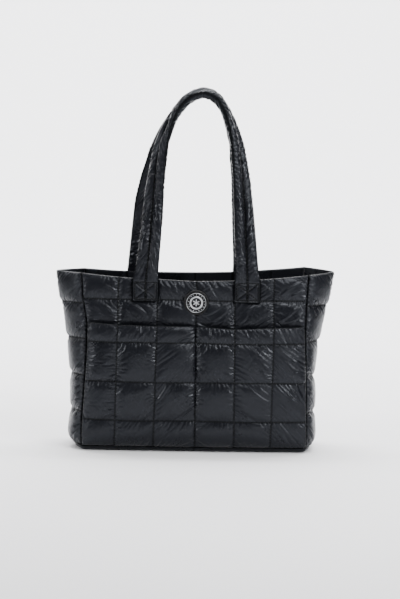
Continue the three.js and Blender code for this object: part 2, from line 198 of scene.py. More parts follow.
class HandleSizes(bpy.types.PropertyGroup):
    """Sizes of the handles."""
    spacing: length("Spacing", 158, "Middle to middle of a handle's two sewn ends")
    drop: length("Drop", 41.5, "Rim to the bottom of a sewn end")
    sewn: length("Sewn length", 31, "Sewn length of an end")
    tab_thickness: length("Tab thickness", 4, "Thickness of a sewn end")
    width: length("Width", 40, "Width of the strap")
    thickness: length("Thickness", 13, "Thickness of the padded strap")
    drawn_in: length("Drawn in", 4.8, "How much narrower the padding makes the strap")
    strap_wall: length("Strap wall", 3, "Thickness of the strap along its stitching")
    rise: length("Rise", 292.5, "Top of the sewn ends to the middle of the arch's crown")
    crown_gap: length("Crown gap", 2, "Between the two handles where they lean together")
    groove: length("Groove", 1.1, "Depth of the sewn ends' stitched lines")


class BadgeSizes(bpy.types.PropertyGroup):
    """Sizes of the badge."""
    diameter: length("Diameter", 39, "Rubber rim across")
    plate: length("Plate", 30.6, "Plate across")
    ring: length("Ring", 20.6, "Bright ring across")
    ring_width: length("Ring width", 2.4, "Width of the bright ring")
    drop: length("Drop", 42.3, "Rim to the middle of the badge")


class Finishes(bpy.types.PropertyGroup):
    """Colours of the bag and the stage."""
    nylon: colour("Nylon", "#0e0f12", "Coated outer cloth")
    nylon_worn: colour("Worn nylon", "#131418", "Outer cloth where it is rubbed")
    lining: colour("Lining", "#08090b", "Lining cloth")
    # The thread colour is also the painted shade that the cloth is darkened towards along its
    # stitching.
    thread: colour("Thread", "#08090a", "Sewing thread")
    rubber: colour("Rubber", "#070708", "Badge's rim")
    enamel: colour("Enamel", "#08080a", "Badge's dark ground")
    metal: colour("Metal", "#b4b6b9", "Badge's bright parts")
    floor: colour("Floor", "#e9e9eb", "Floor and backdrop")


GROUPS = {
    "tote_body": BodySizes,
    "tote_quilt": QuiltSizes,
    "tote_pocket": PocketSizes,
    "tote_handle": HandleSizes,
    "tote_badge": BadgeSizes,
    "tote_finish": Finishes,
}


def cubic_shares(t):
    """Shares of a cubic's start, of the slope there, of its end and of the slope there."""
    return 2 * t**3 - 3 * t**2 + 1, t**3 - 2 * t**2 + t, 3 * t**2 - 2 * t**3, t**3 - t**2


def smooth_value(table, column, rise):
    """A table's column at a rise: a cubic through the rows whose slopes are those of their
    neighbours."""
    at, value = np.array(table["rise"]), np.array(table[column])
    slope = np.gradient(value, at)
    low = np.clip(np.searchsorted(at, rise, side="right") - 1, 0, len(at) - 2)
    width = at[low + 1] - at[low]
    start, leave, end, arrive = cubic_shares(np.clip((rise - at[low]) / width, 0.0, 1.0))
    return (
        start * value[low] + leave * width * slope[low]
        + end * value[low + 1] + arrive * width * slope[low + 1]
    )


def section_at(body, height, side=0):
    """The body's half width, half depth, wing, belly and squareness at a height, from the table.
    side is -1 for the left side, 1 for the right one and 0 for the mean of both."""
    rise = (height - body.seam_height) / (body.bag_height - body.seam_height)
    depth = smooth_value(SECTIONS, "depth", rise)
    left, right = ((1 - side) / 2, (1 + side) / 2)
    of_side = lambda name: (
        left * smooth_value(SECTIONS, name + "_left", rise)
        + right * smooth_value(SECTIONS, name + "_right", rise)
    )
    width = smooth_value(SECTIONS, "width", rise) * body.panel_width / 2
    return SimpleNamespace(
        half_width=width - of_side("tuck") * MM,
        half_depth=(body.rim_depth + (body.base_depth - body.rim_depth) * depth) / 2,
        wing=of_side("wing") * body.wing_reach,
        belly=smooth_value(SECTIONS, "belly", rise) * body.belly_reach,
        square=smooth_value(SECTIONS, "square", rise),
    )


def corner_of(section, inset):
    """The seam's corner at a depth of inset inside the wall, on the mitre of panel and gusset."""
    slope = section.wing * section.square
    mitre = section.half_depth / (np.hypot(section.half_depth, slope) + slope)
    return section.half_width - inset * mitre, section.half_depth - inset


def panel_points(body, x, z, inset):
    """Points of the back panel over x and z: the seam's depth plus a parabola of the belly."""
    section = section_at(body, z)
    corner_x, corner_y = corner_of(section, inset)
    across = np.clip(x / corner_x, -1, 1)
    return np.stack([x, corner_y + section.belly * (1 - across**2), z], axis=-1)


def gusset_points(body, across, z, inset, side):
    """Points of a gusset, as if on the right: from the corner out to the fold by one less a power
    of across. side is 1 for the right gusset and -1 for the left one."""
    section = section_at(body, z, side)
    corner_x, corner_y = corner_of(section, inset)
    tip = section.half_width + section.wing - inset
    fold = 1 - np.abs(across) ** section.square
    x = corner_x + (tip - corner_x) * fold
    return np.stack([x, across * (corner_y - body.seam_gap), z], axis=-1)


def normals_of(points):
    """Unit normals of a grid of points: the cross product of its two directions."""
    across, up = np.gradient(points, axis=1), np.gradient(points, axis=0)
    normal = np.cross(across, up)
    return normal / np.maximum(np.linalg.norm(normal, axis=-1, keepdims=True), 1e-12)


def lattice_noise(x, y, seed):
    """Smooth noise from 0 to 1: random values on a unit lattice, blended by quintic shares."""
    side = 64
    values = np.random.default_rng(seed).random((side, side))
    low_x, low_y = np.floor(x).astype(int), np.floor(y).astype(int)
    tx, ty = x - low_x, y - low_y
    sx, sy = (t**3 * (t * (6 * t - 15) + 10) for t in (tx, ty))
    pick = lambda i, j: values[(low_x + i) % side, (low_y + j) % side]
    near = pick(0, 0) * (1 - sx) + pick(1, 0) * sx
    far = pick(0, 1) * (1 - sx) + pick(1, 1) * sx
    return near * (1 - sy) + far * sy


# The noise that makes the faint creases, in metres: the length and reach of their bends, the
# length and width of the broad and of the fine ones, and the size of the patches they show in.
CREASE_BEND, CREASE_BEND_REACH = 0.021, 0.009


BROAD_CREASE, FINE_CREASE = (0.03, 0.007), (0.013, 0.0034)


CREASE_PATCH = 0.022


def crumples(x, z, seed):
    """Faint creases: ridged noise along two slanting directions, stronger in some places."""
    height = np.zeros(np.shape(x))
    for i, angle in enumerate((0.65, 2.3)):
        along = x * np.cos(angle) + z * np.sin(angle)
        across = -x * np.sin(angle) + z * np.cos(angle)
        bend = lattice_noise(along / CREASE_BEND, across / CREASE_BEND, seed + 3 + i)
        bent = across + bend * CREASE_BEND_REACH
        ridge, fine = (
            1 - np.abs(2 * lattice_noise(along / long, bent / wide, seed + more + i) - 1)
            for (long, wide), more in ((BROAD_CREASE, 5), (FINE_CREASE, 9))
        )
        patch = lattice_noise(x / CREASE_PATCH + 9 * i, z / CREASE_PATCH, seed + 2 + i)
        height += np.clip(2.4 * patch - 0.9, 0, 1) * (0.7 * ridge**2 + 0.3 * fine - 0.5)
    return height


def fold_relief(cloth, folds, first_row):
    """Drag folds, listed one by one: each is a crest along a segment, round across it, with a
    hollow beside it, and it fades towards both ends. first_row is the cloth's row that the
    table's row nought stands for."""
    bow_share, hollow_share, hollow_place, fading = 0.06, 0.5, 1.9, 0.6
    height = np.zeros(cloth.x.shape)
    for column, row, start, end, rise, width in folds:
        here = (cloth.row_cell[:, None] == row + first_row) & (cloth.column_cell[None, :] == column)
        low = np.array([cloth.x[here].min(), cloth.z[here].min()])
        size = np.array([cloth.x[here].max(), cloth.z[here].max()]) - low
        begin, finish = low + np.array(start) * size, low + np.array(end) * size
        span = finish - begin
        reach = np.hypot(*span)
        dx, dz = cloth.x - begin[0], cloth.z - begin[1]
        along = np.clip((dx * span[0] + dz * span[1]) / reach**2, 0, 1)
        bow = bow_share * reach * np.sin(np.pi * along)
        away = ((dz * span[0] - dx * span[1]) / reach - bow) / (width * MM)
        crest = np.exp(-(away**2)) - hollow_share * np.exp(-((away - hollow_place) ** 2))
        height += np.where(here, rise * MM * np.sin(np.pi * along) ** fading * crest, 0.0)
    return height


def cell_counts(lines, step, up_step=None):
    """How many steps each cell between neighbouring lines is cut into, across and up."""
    fewest = 4
    cut = lambda places, by: np.maximum(fewest, np.round(np.diff(places) / by)).astype(int)
    return [cut(lines[0], step), cut(lines[1], up_step or step)]


def quilted_cloth(lines, counts):
    """A grid that follows its quilting lines. lines are the upright and the level lines' places
    at rest, then two functions that give each line's place for places up, or across, the piece,
    or None where they run straight. counts cut each cell evenly, across and up."""
    columns, rows, column_lines, row_lines = lines
    (column_cell, column_share), (row_cell, row_share) = (cell_stations(n) for n in counts)
    across = columns[column_cell] + (columns[column_cell + 1] - columns[column_cell]) * column_share
    up = rows[row_cell] + (rows[row_cell + 1] - rows[row_cell]) * row_share
    straight = lambda places, at: np.repeat(places[None, :], len(at), axis=0)
    at_columns = column_lines(up) if column_lines else straight(columns, up)
    at_rows = row_lines(across) if row_lines else straight(rows, across).T
    x = (
        at_columns[:, column_cell] * (1 - column_share)
        + at_columns[:, column_cell + 1] * column_share
    )
    z = (
        at_rows[row_cell, :] * (1 - row_share[:, None])
        + at_rows[row_cell + 1, :] * row_share[:, None]
    )
    column_away = np.minimum(column_share, 1 - column_share) * np.diff(columns)[column_cell]
    row_away = np.minimum(row_share, 1 - row_share) * np.diff(rows)[row_cell]
    return SimpleNamespace(
        x=x, z=z, column_cell=column_cell, row_cell=row_cell, column_share=column_share,
        row_share=row_share, column_away=column_away[None, :], row_away=row_away[:, None],
    )


def cell_stations(counts):
    """Each station's cell and its share of the way across it."""
    cell = np.concatenate([np.repeat(np.arange(len(counts)), counts), [len(counts) - 1]])
    share = np.concatenate([*[np.arange(n) / n for n in counts], [1.0]])
    return cell, share


def refining(counts):
    """The matrix that turns values at a row's stations into values at stations REFINED times as
    close: cubic pieces whose slopes look only to their own side at a quilting line."""
    total = int(counts.sum())
    matrix = np.zeros((total * REFINED + 1, total + 1))
    start = 0
    for count in counts:
        slope = (np.eye(count + 1, k=1) - np.eye(count + 1, k=-1)) / 2
        slope[0, :3], slope[-1, -3:] = (-1.5, 2, -0.5), (0.5, -2, 1.5)
        place = np.eye(count + 1)
        for k in range(count * REFINED + 1):
            i = min(k // REFINED, count - 1)
            parts = (place[i], slope[i], place[i + 1], slope[i + 1])
            matrix[start * REFINED + k, start:start + count + 1] = sum(
                share * part for share, part in zip(cubic_shares(k / REFINED - i), parts)
            )
        start += count
    return matrix


def stuffed(share):
    """The profile of a stuffed square: one less a power of the distance from its middle, rooted."""
    return np.maximum(0.0, 1 - np.abs(2 * share - 1) ** 2.3) ** 0.7


def gathered(quilt, cloth, pattern, pinned, pinned_rise, seed):
    """Offsets of a stitched sheet from its flat place: sideways, up and outwards.

    Blender's cloth starts as the flat pattern, which is larger than its place. The stitched
    points then move to their places, which gathers the cloth between them, and the wadding's
    pressure blows it outwards. It is run ten times larger than life, where the solver is stiffer.
    """
    rows, columns = cloth.x.shape
    scale, frames, moved = 10.0, 26, 12
    random = np.random.default_rng(seed)
    start = np.dstack([pattern, random.uniform(0, 0.3 * MM, cloth.x.shape)]) * scale
    place = np.dstack([cloth.x, cloth.z, pinned_rise]) * scale
    mesh = bpy.data.meshes.new("sheet")
    quads = grid_quads(np.arange(rows * columns).reshape(rows, -1))
    mesh.from_pydata(start.reshape(-1, 3), [], quads)
    sheet = bpy.data.objects.new("sheet", mesh)
    scene = bpy.context.scene
    scene.collection.objects.link(sheet)
    sheet.vertex_groups.new(name="stitched").add(np.flatnonzero(pinned).tolist(), 1.0, "REPLACE")
    sheet.shape_key_add(name="pattern")
    key = sheet.shape_key_add(name="stitched")
    key.data.foreach_set("co", place.ravel())
    for frame_number, value in ((1, 0.0), (moved, 1.0)):
        key.value = value
        key.keyframe_insert("value", frame=frame_number)
    modifier = sheet.modifiers.new("gathering", "CLOTH")
    settings = modifier.settings
    settings.quality = 5
    settings.mass = 0.3
    settings.tension_stiffness = settings.compression_stiffness = 30
    settings.shear_stiffness = 10
    settings.bending_stiffness = quilt.bending
    settings.tension_damping = settings.compression_damping = settings.shear_damping = 15
    settings.air_damping = 2
    settings.vertex_group_mass = "stitched"
    settings.use_pressure = True
    settings.uniform_pressure_force = quilt.pressure
    settings.effector_weights.gravity = 0
    modifier.collision_settings.use_collision = False
    modifier.point_cache.frame_start, modifier.point_cache.frame_end = 1, frames
    for frame_number in range(1, frames + 1):
        scene.frame_set(frame_number)
    evaluated = sheet.evaluated_get(bpy.context.evaluated_depsgraph_get())
    found = np.empty(rows * columns * 3)
    evaluated.data.vertices.foreach_get("co", found)
    scene.frame_set(1)
    bpy.data.objects.remove(sheet)
    return found.reshape(rows, columns, 3) / scale - np.dstack([cloth.x, cloth.z, 0 * cloth.x])


def puffed(quilt, lines, counts, puff, growth, lift, seed, footprint=None, level=0.0):
    """A fine quilted grid and its offsets from its flat place, worked out by gathering a coarser
    one. growth is how much larger the pattern is across and up, lift how far each upright line
    is dragged up in millimetres, and footprint tells how far the cloth is pressed down to a level
    at given places."""
    fine = quilted_cloth(lines, [n * REFINED for n in counts])
    cloth = quilted_cloth(lines, counts)
    pinned = (cloth.column_away < 1e-9) | (cloth.row_away < 1e-9)
    rise = np.zeros(cloth.x.shape)
    if footprint:
        under = footprint(cloth.x, cloth.z) > 0.999
        pinned, rise = pinned | under, np.where(under, level, 0.0)
    starts = np.concatenate([[0], np.cumsum(counts[0])])
    dragged = np.interp(np.arange(cloth.x.shape[1]), starts, np.asarray(lift) * MM)
    # The pattern isn't cut quite true: it strays by up to 0.6 mm over a few centimetres.
    stray = [
        1.2 * MM * (lattice_noise(cloth.x / 0.035, cloth.z / 0.035, seed + i) - 0.5) for i in (1, 2)
    ]
    pattern = np.dstack([
        cloth.x * growth[0] + stray[0], (cloth.z - dragged[None, :]) * growth[1] + stray[1],
    ])
    offset = gathered(quilt, cloth, pattern, pinned, rise, seed)
    out = offset[..., 2]
    offset[..., 2] = np.where(out > 0, puff * np.tanh(out / puff), out)
    up, over = refining(counts[1]), refining(counts[0])
    return fine, np.dstack([up @ offset[..., i] @ over.T for i in range(3)])


def stitch_shade_of(away):
    """Painted shade along stitching, from the distance to it: one within 0.6 mm, falling evenly to
    nought at 1.6 mm.
    """
    return np.clip(1.65 - away / (0.95 * MM), 0, 1)


def inner_line_paths(cloth, points, outward, first_row):
    """The paths of a grid's quilting lines apart from its border, each with its outward
    directions. The upright ones start at first_row."""
    columns = np.flatnonzero((cloth.column_share == 0) & (cloth.column_cell > 0))
    rows = np.flatnonzero((cloth.row_share == 0) & (cloth.row_cell > 0))
    uprights = [(points[first_row:, c], outward[first_row:, c]) for c in columns]
    return uprights + [(points[r], outward[r]) for r in rows]


def edge_rounding(cloth, radius):
    """Nought on the piece's border and one beyond a radius from it, on a quarter circle."""
    x, z = cloth.x, cloth.z
    side = np.minimum(x - x[:, :1], x[:, -1:] - x)
    end = np.minimum(z - z[:1], z[-1:] - z)
    away = np.clip(np.minimum(side, end) / radius, 0, 1)
    return np.sqrt(1 - (1 - away) ** 2)


def shell(outer, inner):
    """A closed surface from an outer and an inner grid that share their border: its points, and
    the outer quads followed by as many inner ones."""
    rows, columns = outer.shape[:2]
    front = np.arange(rows * columns).reshape(rows, columns)
    back = front.copy()
    back[1:-1, 1:-1] = rows * columns + np.arange((rows - 2) * (columns - 2)).reshape(rows - 2, -1)
    quads = np.concatenate([grid_quads(front), grid_quads(back)[:, ::-1]])
    return shell_values(outer, inner), quads


def shell_values(outer, inner):
    """Values of a shell's points, in the order that shell gives them."""
    inside = inner[1:-1, 1:-1]
    return np.concatenate([
        outer.reshape(-1, *outer.shape[2:]), inside.reshape(-1, *inside.shape[2:]),
    ])


def grid_quads(index):
    """The quads of a grid of point numbers."""
    corners = (index[:-1, :-1], index[:-1, 1:], index[1:, 1:], index[1:, :-1])
    return np.stack([c.ravel() for c in corners], axis=-1)


def ring_quads(rings, sides, start=0):
    """The quads between neighbouring rings of points, each ring closed on itself."""
    index = start + np.arange(rings * sides).reshape(rings, sides)
    return grid_quads(np.concatenate([index, index[:, :1]], axis=1))


def add_mesh(name, points, faces, materials, material_index=None, uv=None, seam=None):
    """A new object with this mesh, its faces smooth, and its cloth coordinates and its painted
    stitching shade as seam values.
    """
    mesh = bpy.data.meshes.new(name)
    mesh.from_pydata(points, [], faces)
    for material in materials:
        mesh.materials.append(material)
    if material_index is not None:
        mesh.polygons.foreach_set("material_index", np.asarray(material_index, np.int32))
    if uv is not None:
        corners = np.empty(len(mesh.loops), np.int32)
        mesh.loops.foreach_get("vertex_index", corners)
        layer = mesh.uv_layers.new(name="cloth")
        layer.data.foreach_set("uv", uv[corners].astype(np.float32).ravel())
    # The seam values are painted shade, which the cloth's material darkens by.
    if seam is not None:
        attribute = mesh.attributes.new("seam", "FLOAT", "POINT")
        attribute.data.foreach_set("value", seam.astype(np.float32).ravel())
    mesh.polygons.foreach_set("use_smooth", np.ones(len(mesh.polygons), bool))
    mesh.update()
    piece = bpy.data.objects.new(name, mesh)
    bpy.context.scene.collection.objects.link(piece)
    return piece


def mount_piece(piece, node):
    """Hangs a piece on the body's root and hides the node that it stands for, if there is one."""
    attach(piece, "root")
    if node:
        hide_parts(node)


def facing_out(points, quads):
    """The quads, turned round if the volume that they enclose comes out negative."""
    a, b, c, d = (points[quads[:, i]] for i in range(4))
    volume = (np.cross(b - a, c - a) * a).sum() + (np.cross(c - a, d - a) * a).sum()
    return quads if volume > 0 else quads[:, ::-1]


def two_faces(surface, normal, cloth, offsets, half_wall=0.0):
    """Both faces of a cloth on a surface with these outward directions. Each face lies half a
    wall from the surface, less near the border, and further by its own offsets."""
    rounding = edge_rounding(cloth, 2 * MM) * half_wall
    return [
        surface(cloth.x + offset[..., 0], cloth.z + offset[..., 1])
        + normal * (sign * (rounding + offset[..., 2]))[..., None]
        for offset, sign in zip(offsets, (1, -1))
    ]


def cloth_piece(context, name, node, cloth, outer, inner, lining_top, stitched=0.0):
    """A quilted piece from its two grids. Its inside is lining up to lining_top, and stitched is
    the painted shade near stitching and creases other than the quilting lines."""
    points, quads = shell(outer, inner)
    lined = np.repeat(cloth.z.mean(axis=1)[:-1] < lining_top, outer.shape[1] - 1)
    material_index = np.concatenate([np.zeros(len(quads) // 2, int), lined])
    flat = np.stack([cloth.x, cloth.z], axis=-1)
    # Painted shade: the cloth is drawn darker and duller along the quilting lines and the other
    # stitching.
    quilting_shade = stitch_shade_of(np.minimum(cloth.column_away, cloth.row_away))
    stitch_shade = np.maximum(quilting_shade, stitched)
    names = ("coated_nylon_taffeta", "polyester_lining")
    piece = add_mesh(
        name, points, facing_out(points, quads), [material_named(context, n) for n in names],
        material_index, shell_values(flat, flat), shell_values(stitch_shade, stitch_shade),
    )
    mount_piece(piece, node)


def quilted_piece(
    context, names, cloth, offset, surface, wall, lining_top,
    axis=1, turn=(1, 1, 1), stitched=0.0, first_row=0,
):
    """A quilted piece on a surface, and its stitching. names are the piece's, its node's and its
    stitching's. axis is the one that the outward directions follow, and turn the signs that put
    the piece on its own side of the bag."""
    normal = normals_of(surface(cloth.x, cloth.z))
    normal *= np.sign(normal[..., axis:axis + 1])
    faces = two_faces(surface, normal, cloth, (offset, 0 * offset), wall / 2)
    outer, inner, normal = (part * np.array(turn) for part in (*faces, normal))
    cloth_piece(
        context, names[0], names[1], cloth, outer, inner, lining_top, stitched=stitched
    )
    sew(context, names[2], inner_line_paths(cloth, outer, normal, first_row))


def sew(context, name, paths):
    """Thread along paths, as one object of small stitches."""
    quilt = context.scene.tote_quilt
    stitches = [stitches_along(path, outward, quilt.stitch) for path, outward in paths]
    points, faces = thread_mesh(*(np.concatenate(part) for part in zip(*stitches)), quilt.thread)
    thread = add_mesh(name, points, faces, [material_named(context, "polyester_thread")])
    mount_piece(thread, None)


def set_node(tree, node, settings):
    """Sets a node's attributes and input values, and links the inputs that are given a socket."""
    for key, value in settings.items():
        if isinstance(value, bpy.types.NodeSocket):
            tree.links.new(value, node.inputs[key])
        elif isinstance(key, str) and hasattr(node, key):
            setattr(node, key, value)
        else:
            node.inputs[key].default_value = value
    return node


def add_node(tree, kind, settings=None):
    """Adds a shader node with these settings."""
    return set_node(tree, tree.nodes.new("ShaderNode" + kind), settings or {})


def coated_nylon(tree, place, finish):
    """Coated nylon taffeta: a plain weave of fine bright thread under a thin glossy coating, so
    it is near black with a broad grey sheen and crisp highlights on every pucker. Along the
    stitching the colour is painted darker and the reflection turned down, as painted shade."""
    cloth = add_node(tree, "UVMap", {"uv_map": "cloth"}).outputs["UV"]
    # The seam attribute is painted shade along the stitching: towards one it darkens the colour to
    # the thread's and turns the reflection down.
    seam = add_node(tree, "Attribute", {"attribute_name": "seam"}).outputs["Fac"]
    # Blotches a few centimetres across, where handling has dulled the coating.
    blotch = noise_of(tree, place, Scale=28.0, Detail=4.0, Roughness=0.6)
    tone = mix_colours(tree, blotch, finish.nylon, finish.nylon_worn)
    # The taffeta's threads lie 0.2 mm apart, drawn at 0.9 mm so that they show as a faint grain.
    weave = add_node(tree, "TexBrick", {
        "Vector": cloth, "Scale": 1.0, "Mortar Size": 0.12 * MM, "Mortar Smooth": 1.0,
        "Brick Width": 0.9 * MM, "Row Height": 0.9 * MM, "Color1": (1, 1, 1, 1),
        "Color2": (0.8, 0.8, 0.8, 1), "Mortar": (0, 0, 0, 1),
    }).outputs["Color"]
    # Creases of about 2.4 mm, and of 7 mm, both drawn out a little by distortion.
    crinkle = noise_of(tree, place, Scale=420.0, Detail=3.0, Roughness=0.55, Distortion=0.6)
    wrinkle = noise_of(tree, place, Scale=150.0, Detail=2.0, Distortion=1.2)
    bump = None
    for height, strength, depth in ((weave, 0.1, 0.1), (crinkle, 0.4, 0.3), (wrinkle, 0.5, 0.7)):
        bump = bump_of(tree, height, strength, depth, bump)
    return {
        "Base Color": mix_colours(tree, seam, tone, finish.thread),
        "Specular IOR Level": range_of(tree, seam, 0.18, 0.02),
        "Specular Tint": (0.88, 0.92, 1.0, 1.0),
        "Roughness": range_of(tree, blotch, 0.24, 0.36, **{"From Min": 0.3, "From Max": 0.7}),
        "Normal": bump,
    }


def noise_of(tree, place, **settings):
    """The values of a noise texture."""
    return add_node(tree, "TexNoise", {"Vector": place, **settings}).outputs["Fac"]


def range_of(tree, value, low, high, **settings):
    """A value from 0 to 1 turned into one from low to high."""
    settings = {"Value": value, "To Min": low, "To Max": high, **settings}
    return add_node(tree, "MapRange", settings).outputs["Result"]


def bump_of(tree, height, strength, depth, below=None):
    """The directions of a bump with a depth in millimetres, on top of those of another one."""
    settings = {"Height": height, "Strength": strength, "Distance": depth * MM}
    if below:
        settings["Normal"] = below
    return add_node(tree, "Bump", settings).outputs["Normal"]


# Places of a Mix node's colour sockets: its first colour, its second one and its result.
FIRST, SECOND, MIXED = 6, 7, 2


def mix_colours(tree, factor, first, second):
    """A mix of two colours, each of them a value or a socket."""
    settings = {"data_type": "RGBA", 0: factor, FIRST: first, SECOND: second}
    return add_node(tree, "Mix", settings).outputs[MIXED]


def cast_metal(tree, place, finish):
    """Nickel-plated zinc casting: bright, tumbled to a satin, with fine scratches."""
    scratch = noise_of(tree, place, Scale=1800.0, Detail=3.0)
    return {
        "Base Color": finish.metal, "Metallic": 1.0,
        "Roughness": range_of(tree, scratch, 0.22, 0.42),
    }


def studio_grey(tree, place, finish):
    """Matt painted floor and backdrop, pale and even."""
    mottle = noise_of(tree, place, Scale=3.0, Detail=2.0)
    return {"Base Color": finish.floor, "Roughness": range_of(tree, mottle, 0.7, 0.85)}


# Materials whose relief is one texture: the finish that colours them, the texture and its
# settings, the bump's strength and depth in millimetres, the roughness and the specular level.
PLAIN_MATERIALS = {
    # Polyester lining: thinner and duller than the outer cloth, with a soft grey sheen.
    "polyester_lining": (
        "lining", "TexNoise", {"Scale": 45.0, "Detail": 4.0, "Distortion": 1.0},
        0.5, 1.0, 0.5, 0.25,
    ),
    # Spun polyester thread: two twisted strands, dull black with a small glint on each stitch.
    # The twist repeats every 0.5 mm.
    "polyester_thread": (
        "thread", "TexWave", {"Scale": 320.0, "Distortion": 1.5, "bands_direction": "DIAGONAL"},
        0.4, 0.1, 0.5, 0.2,
    ),
    # Moulded silicone rubber: matt black, the mould's grain about 0.4 mm, a soft edge highlight.
    "moulded_silicone_rubber": (
        "rubber", "TexNoise", {"Scale": 2500.0, "Detail": 2.0}, 0.3, 0.08, 0.48, 0.2,
    ),
    # Glossy black enamel in the badge's recess: even and dark, with a clear reflection.
    "black_enamel": ("enamel", "TexNoise", {"Scale": 600.0}, 0.15, 0.05, 0.3, 0.15),
}


MATERIAL_MAKERS = {
    "coated_nylon_taffeta": coated_nylon,
    "nickel_plated_zinc": cast_metal,
    "matt_studio_paint": studio_grey,
}


def plain_inputs(tree, place, finish, name):
    """The shader's inputs of a material from the table of plain ones."""
    tint, kind, settings, strength, depth, roughness, specular = PLAIN_MATERIALS[name]
    height = add_node(tree, kind, {"Vector": place, **settings}).outputs["Fac"]
    return {
        "Base Color": getattr(finish, tint), "Roughness": roughness,
        "Specular IOR Level": specular, "Normal": bump_of(tree, height, strength, depth),
    }


def material_named(context, name):
    """The material of that name, made on first use: a Principled shader and what feeds it."""
    found = bpy.data.materials.get(name)
    if found:
        return found
    material = bpy.data.materials.new(name)
    material.use_nodes = True
    tree = material.node_tree
    tree.nodes.clear()
    shader = add_node(tree, "BsdfPrincipled")
    add_node(tree, "OutputMaterial", {"Surface": shader.outputs["BSDF"]})
    place = add_node(tree, "TexCoord").outputs["Object"]
    finish = context.scene.tote_finish
    if name in MATERIAL_MAKERS:
        set_node(tree, shader, MATERIAL_MAKERS[name](tree, place, finish))
    else:
        set_node(tree, shader, plain_inputs(tree, place, finish, name))
    return material


def panel_columns(body, quilt):
    """Places of the upright lines at rest, seam to seam."""
    half = body.panel_width / 2
    squares = math.ceil(half / quilt.pitch) - 1
    return np.array([-half, *(np.arange(-squares, squares + 1) * quilt.pitch), half])


def lines_below(body, first, pitch):
    """Heights of the level lines, every pitch down from the first to the base seam."""
    floor = body.seam_height + body.seam_gap
    count = math.ceil((first - floor) / pitch)
    return np.array([floor, *(first - np.arange(count)[::-1] * pitch)])


def wandering(places, at, amount, seed):
    """Lines that stray from their places by smooth noise along their length."""
    noise = lattice_noise(at[:, None] / 0.045, np.arange(len(places))[None, :] * 7.3, seed)
    return places[None, :] + amount * (2 * noise - 1)


def panel_column_lines(body, places, rows, seed, drift=0.0, inset=0.0):
    """Upright lines of a panel for heights: they stray a little, drift sideways towards the
    bottom, and the outer two follow the seams, more inset from them towards the top."""
    def lines(up):
        strayed = wandering(places, up, 0.7 * MM, seed)
        down = np.clip((rows[-1] - up) / (rows[-1] - rows[0]), 0, 1)
        strayed[:, 1:-1] += down[:, None] * drift
        for column, side in ((0, -1), (-1, 1)):
            seam = corner_of(section_at(body, up, side), 0)[0]
            strayed[:, column] = side * (seam - body.seam_gap - inset * (1 - down))
        return strayed
    return lines


def panel_row_lines(places, seed, top_rise, sag=0.0):
    """Level lines of a panel for places across it: the lines between the borders stray a little,
    and the top one sags and follows its table of rises."""
    def lines(across):
        strayed = wandering(places, across, 0.9 * MM, seed).T.copy()
        strayed[0], strayed[-1] = places[0], places[-1]
        share = across / across[-1]
        strayed[-1] += rise_along(top_rise, share)
        strayed[-1] -= sag * (1 - share**2)
        return strayed
    return lines


def rise_along(table, share):
    """A table of millimetres at even places from -1 to 1, at a share between them."""
    return np.interp(share, np.linspace(-1, 1, len(table)), table) * MM


def tab_places(handle, stray):
    """Middles of a handle's sewn ends; stray is how far the left one stands further left."""
    return -handle.spacing / 2 - stray, handle.spacing / 2


def under_tabs(body, handle, x, z, stray=0.0):
    """One under the handles' sewn ends and straps up to the rim, falling smoothly to nought a
    millimetre away."""
    half = handle.drop / 2
    above = np.maximum(0, np.abs(z - (body.bag_height - half)) - half)
    total = 0
    for place in tab_places(handle, stray):
        beside = np.maximum(0, np.abs(x - place) - handle.width / 2)
        near = np.clip(1 - np.hypot(beside, above) / MM, 0, 1)
        total = total + near**2 * (3 - 2 * near)
    return total


def tab_outline_shade(body, handle, cloth, stray):
    """Painted shade round a handle's sewn end on the panel, where the crease's shadow falls: one
    within 0.75 mm of its outline, nought 2 mm away."""
    top, bottom = body.bag_height, body.bag_height - handle.drop
    away = np.full(cloth.x.shape, np.inf)
    for place in tab_places(handle, stray):
        side = np.abs(cloth.x - place) - handle.width / 2
        away = np.minimum(away, np.abs(np.maximum(side, bottom - cloth.z)))
    return np.where(cloth.z < top, np.clip(1.6 - away / (1.25 * MM), 0, 1), 0.0)


# How far the cloth stands off its middle surface where the badge or a handle presses it down.
PRESSED_LEVEL = 0.7 * MM


def tall_panel(context, names, cloth, offset, stray=0.0, turn=(1, 1, 1), first_row=0):
    """A quilted panel from the base to the rim, with painted shade round the handles' sewn ends."""
    body, quilt = context.scene.tote_body, context.scene.tote_quilt
    quilted_piece(
        context, names, cloth, offset, lambda x, z: panel_points(body, x, z, body.wall / 2),
        body.wall, body.bag_height - quilt.facing, turn=turn, first_row=first_row,
        # Painted shade round the outlines of the handles' sewn ends.
        stitched=tab_outline_shade(body, context.scene.tote_handle, cloth, stray),
    )


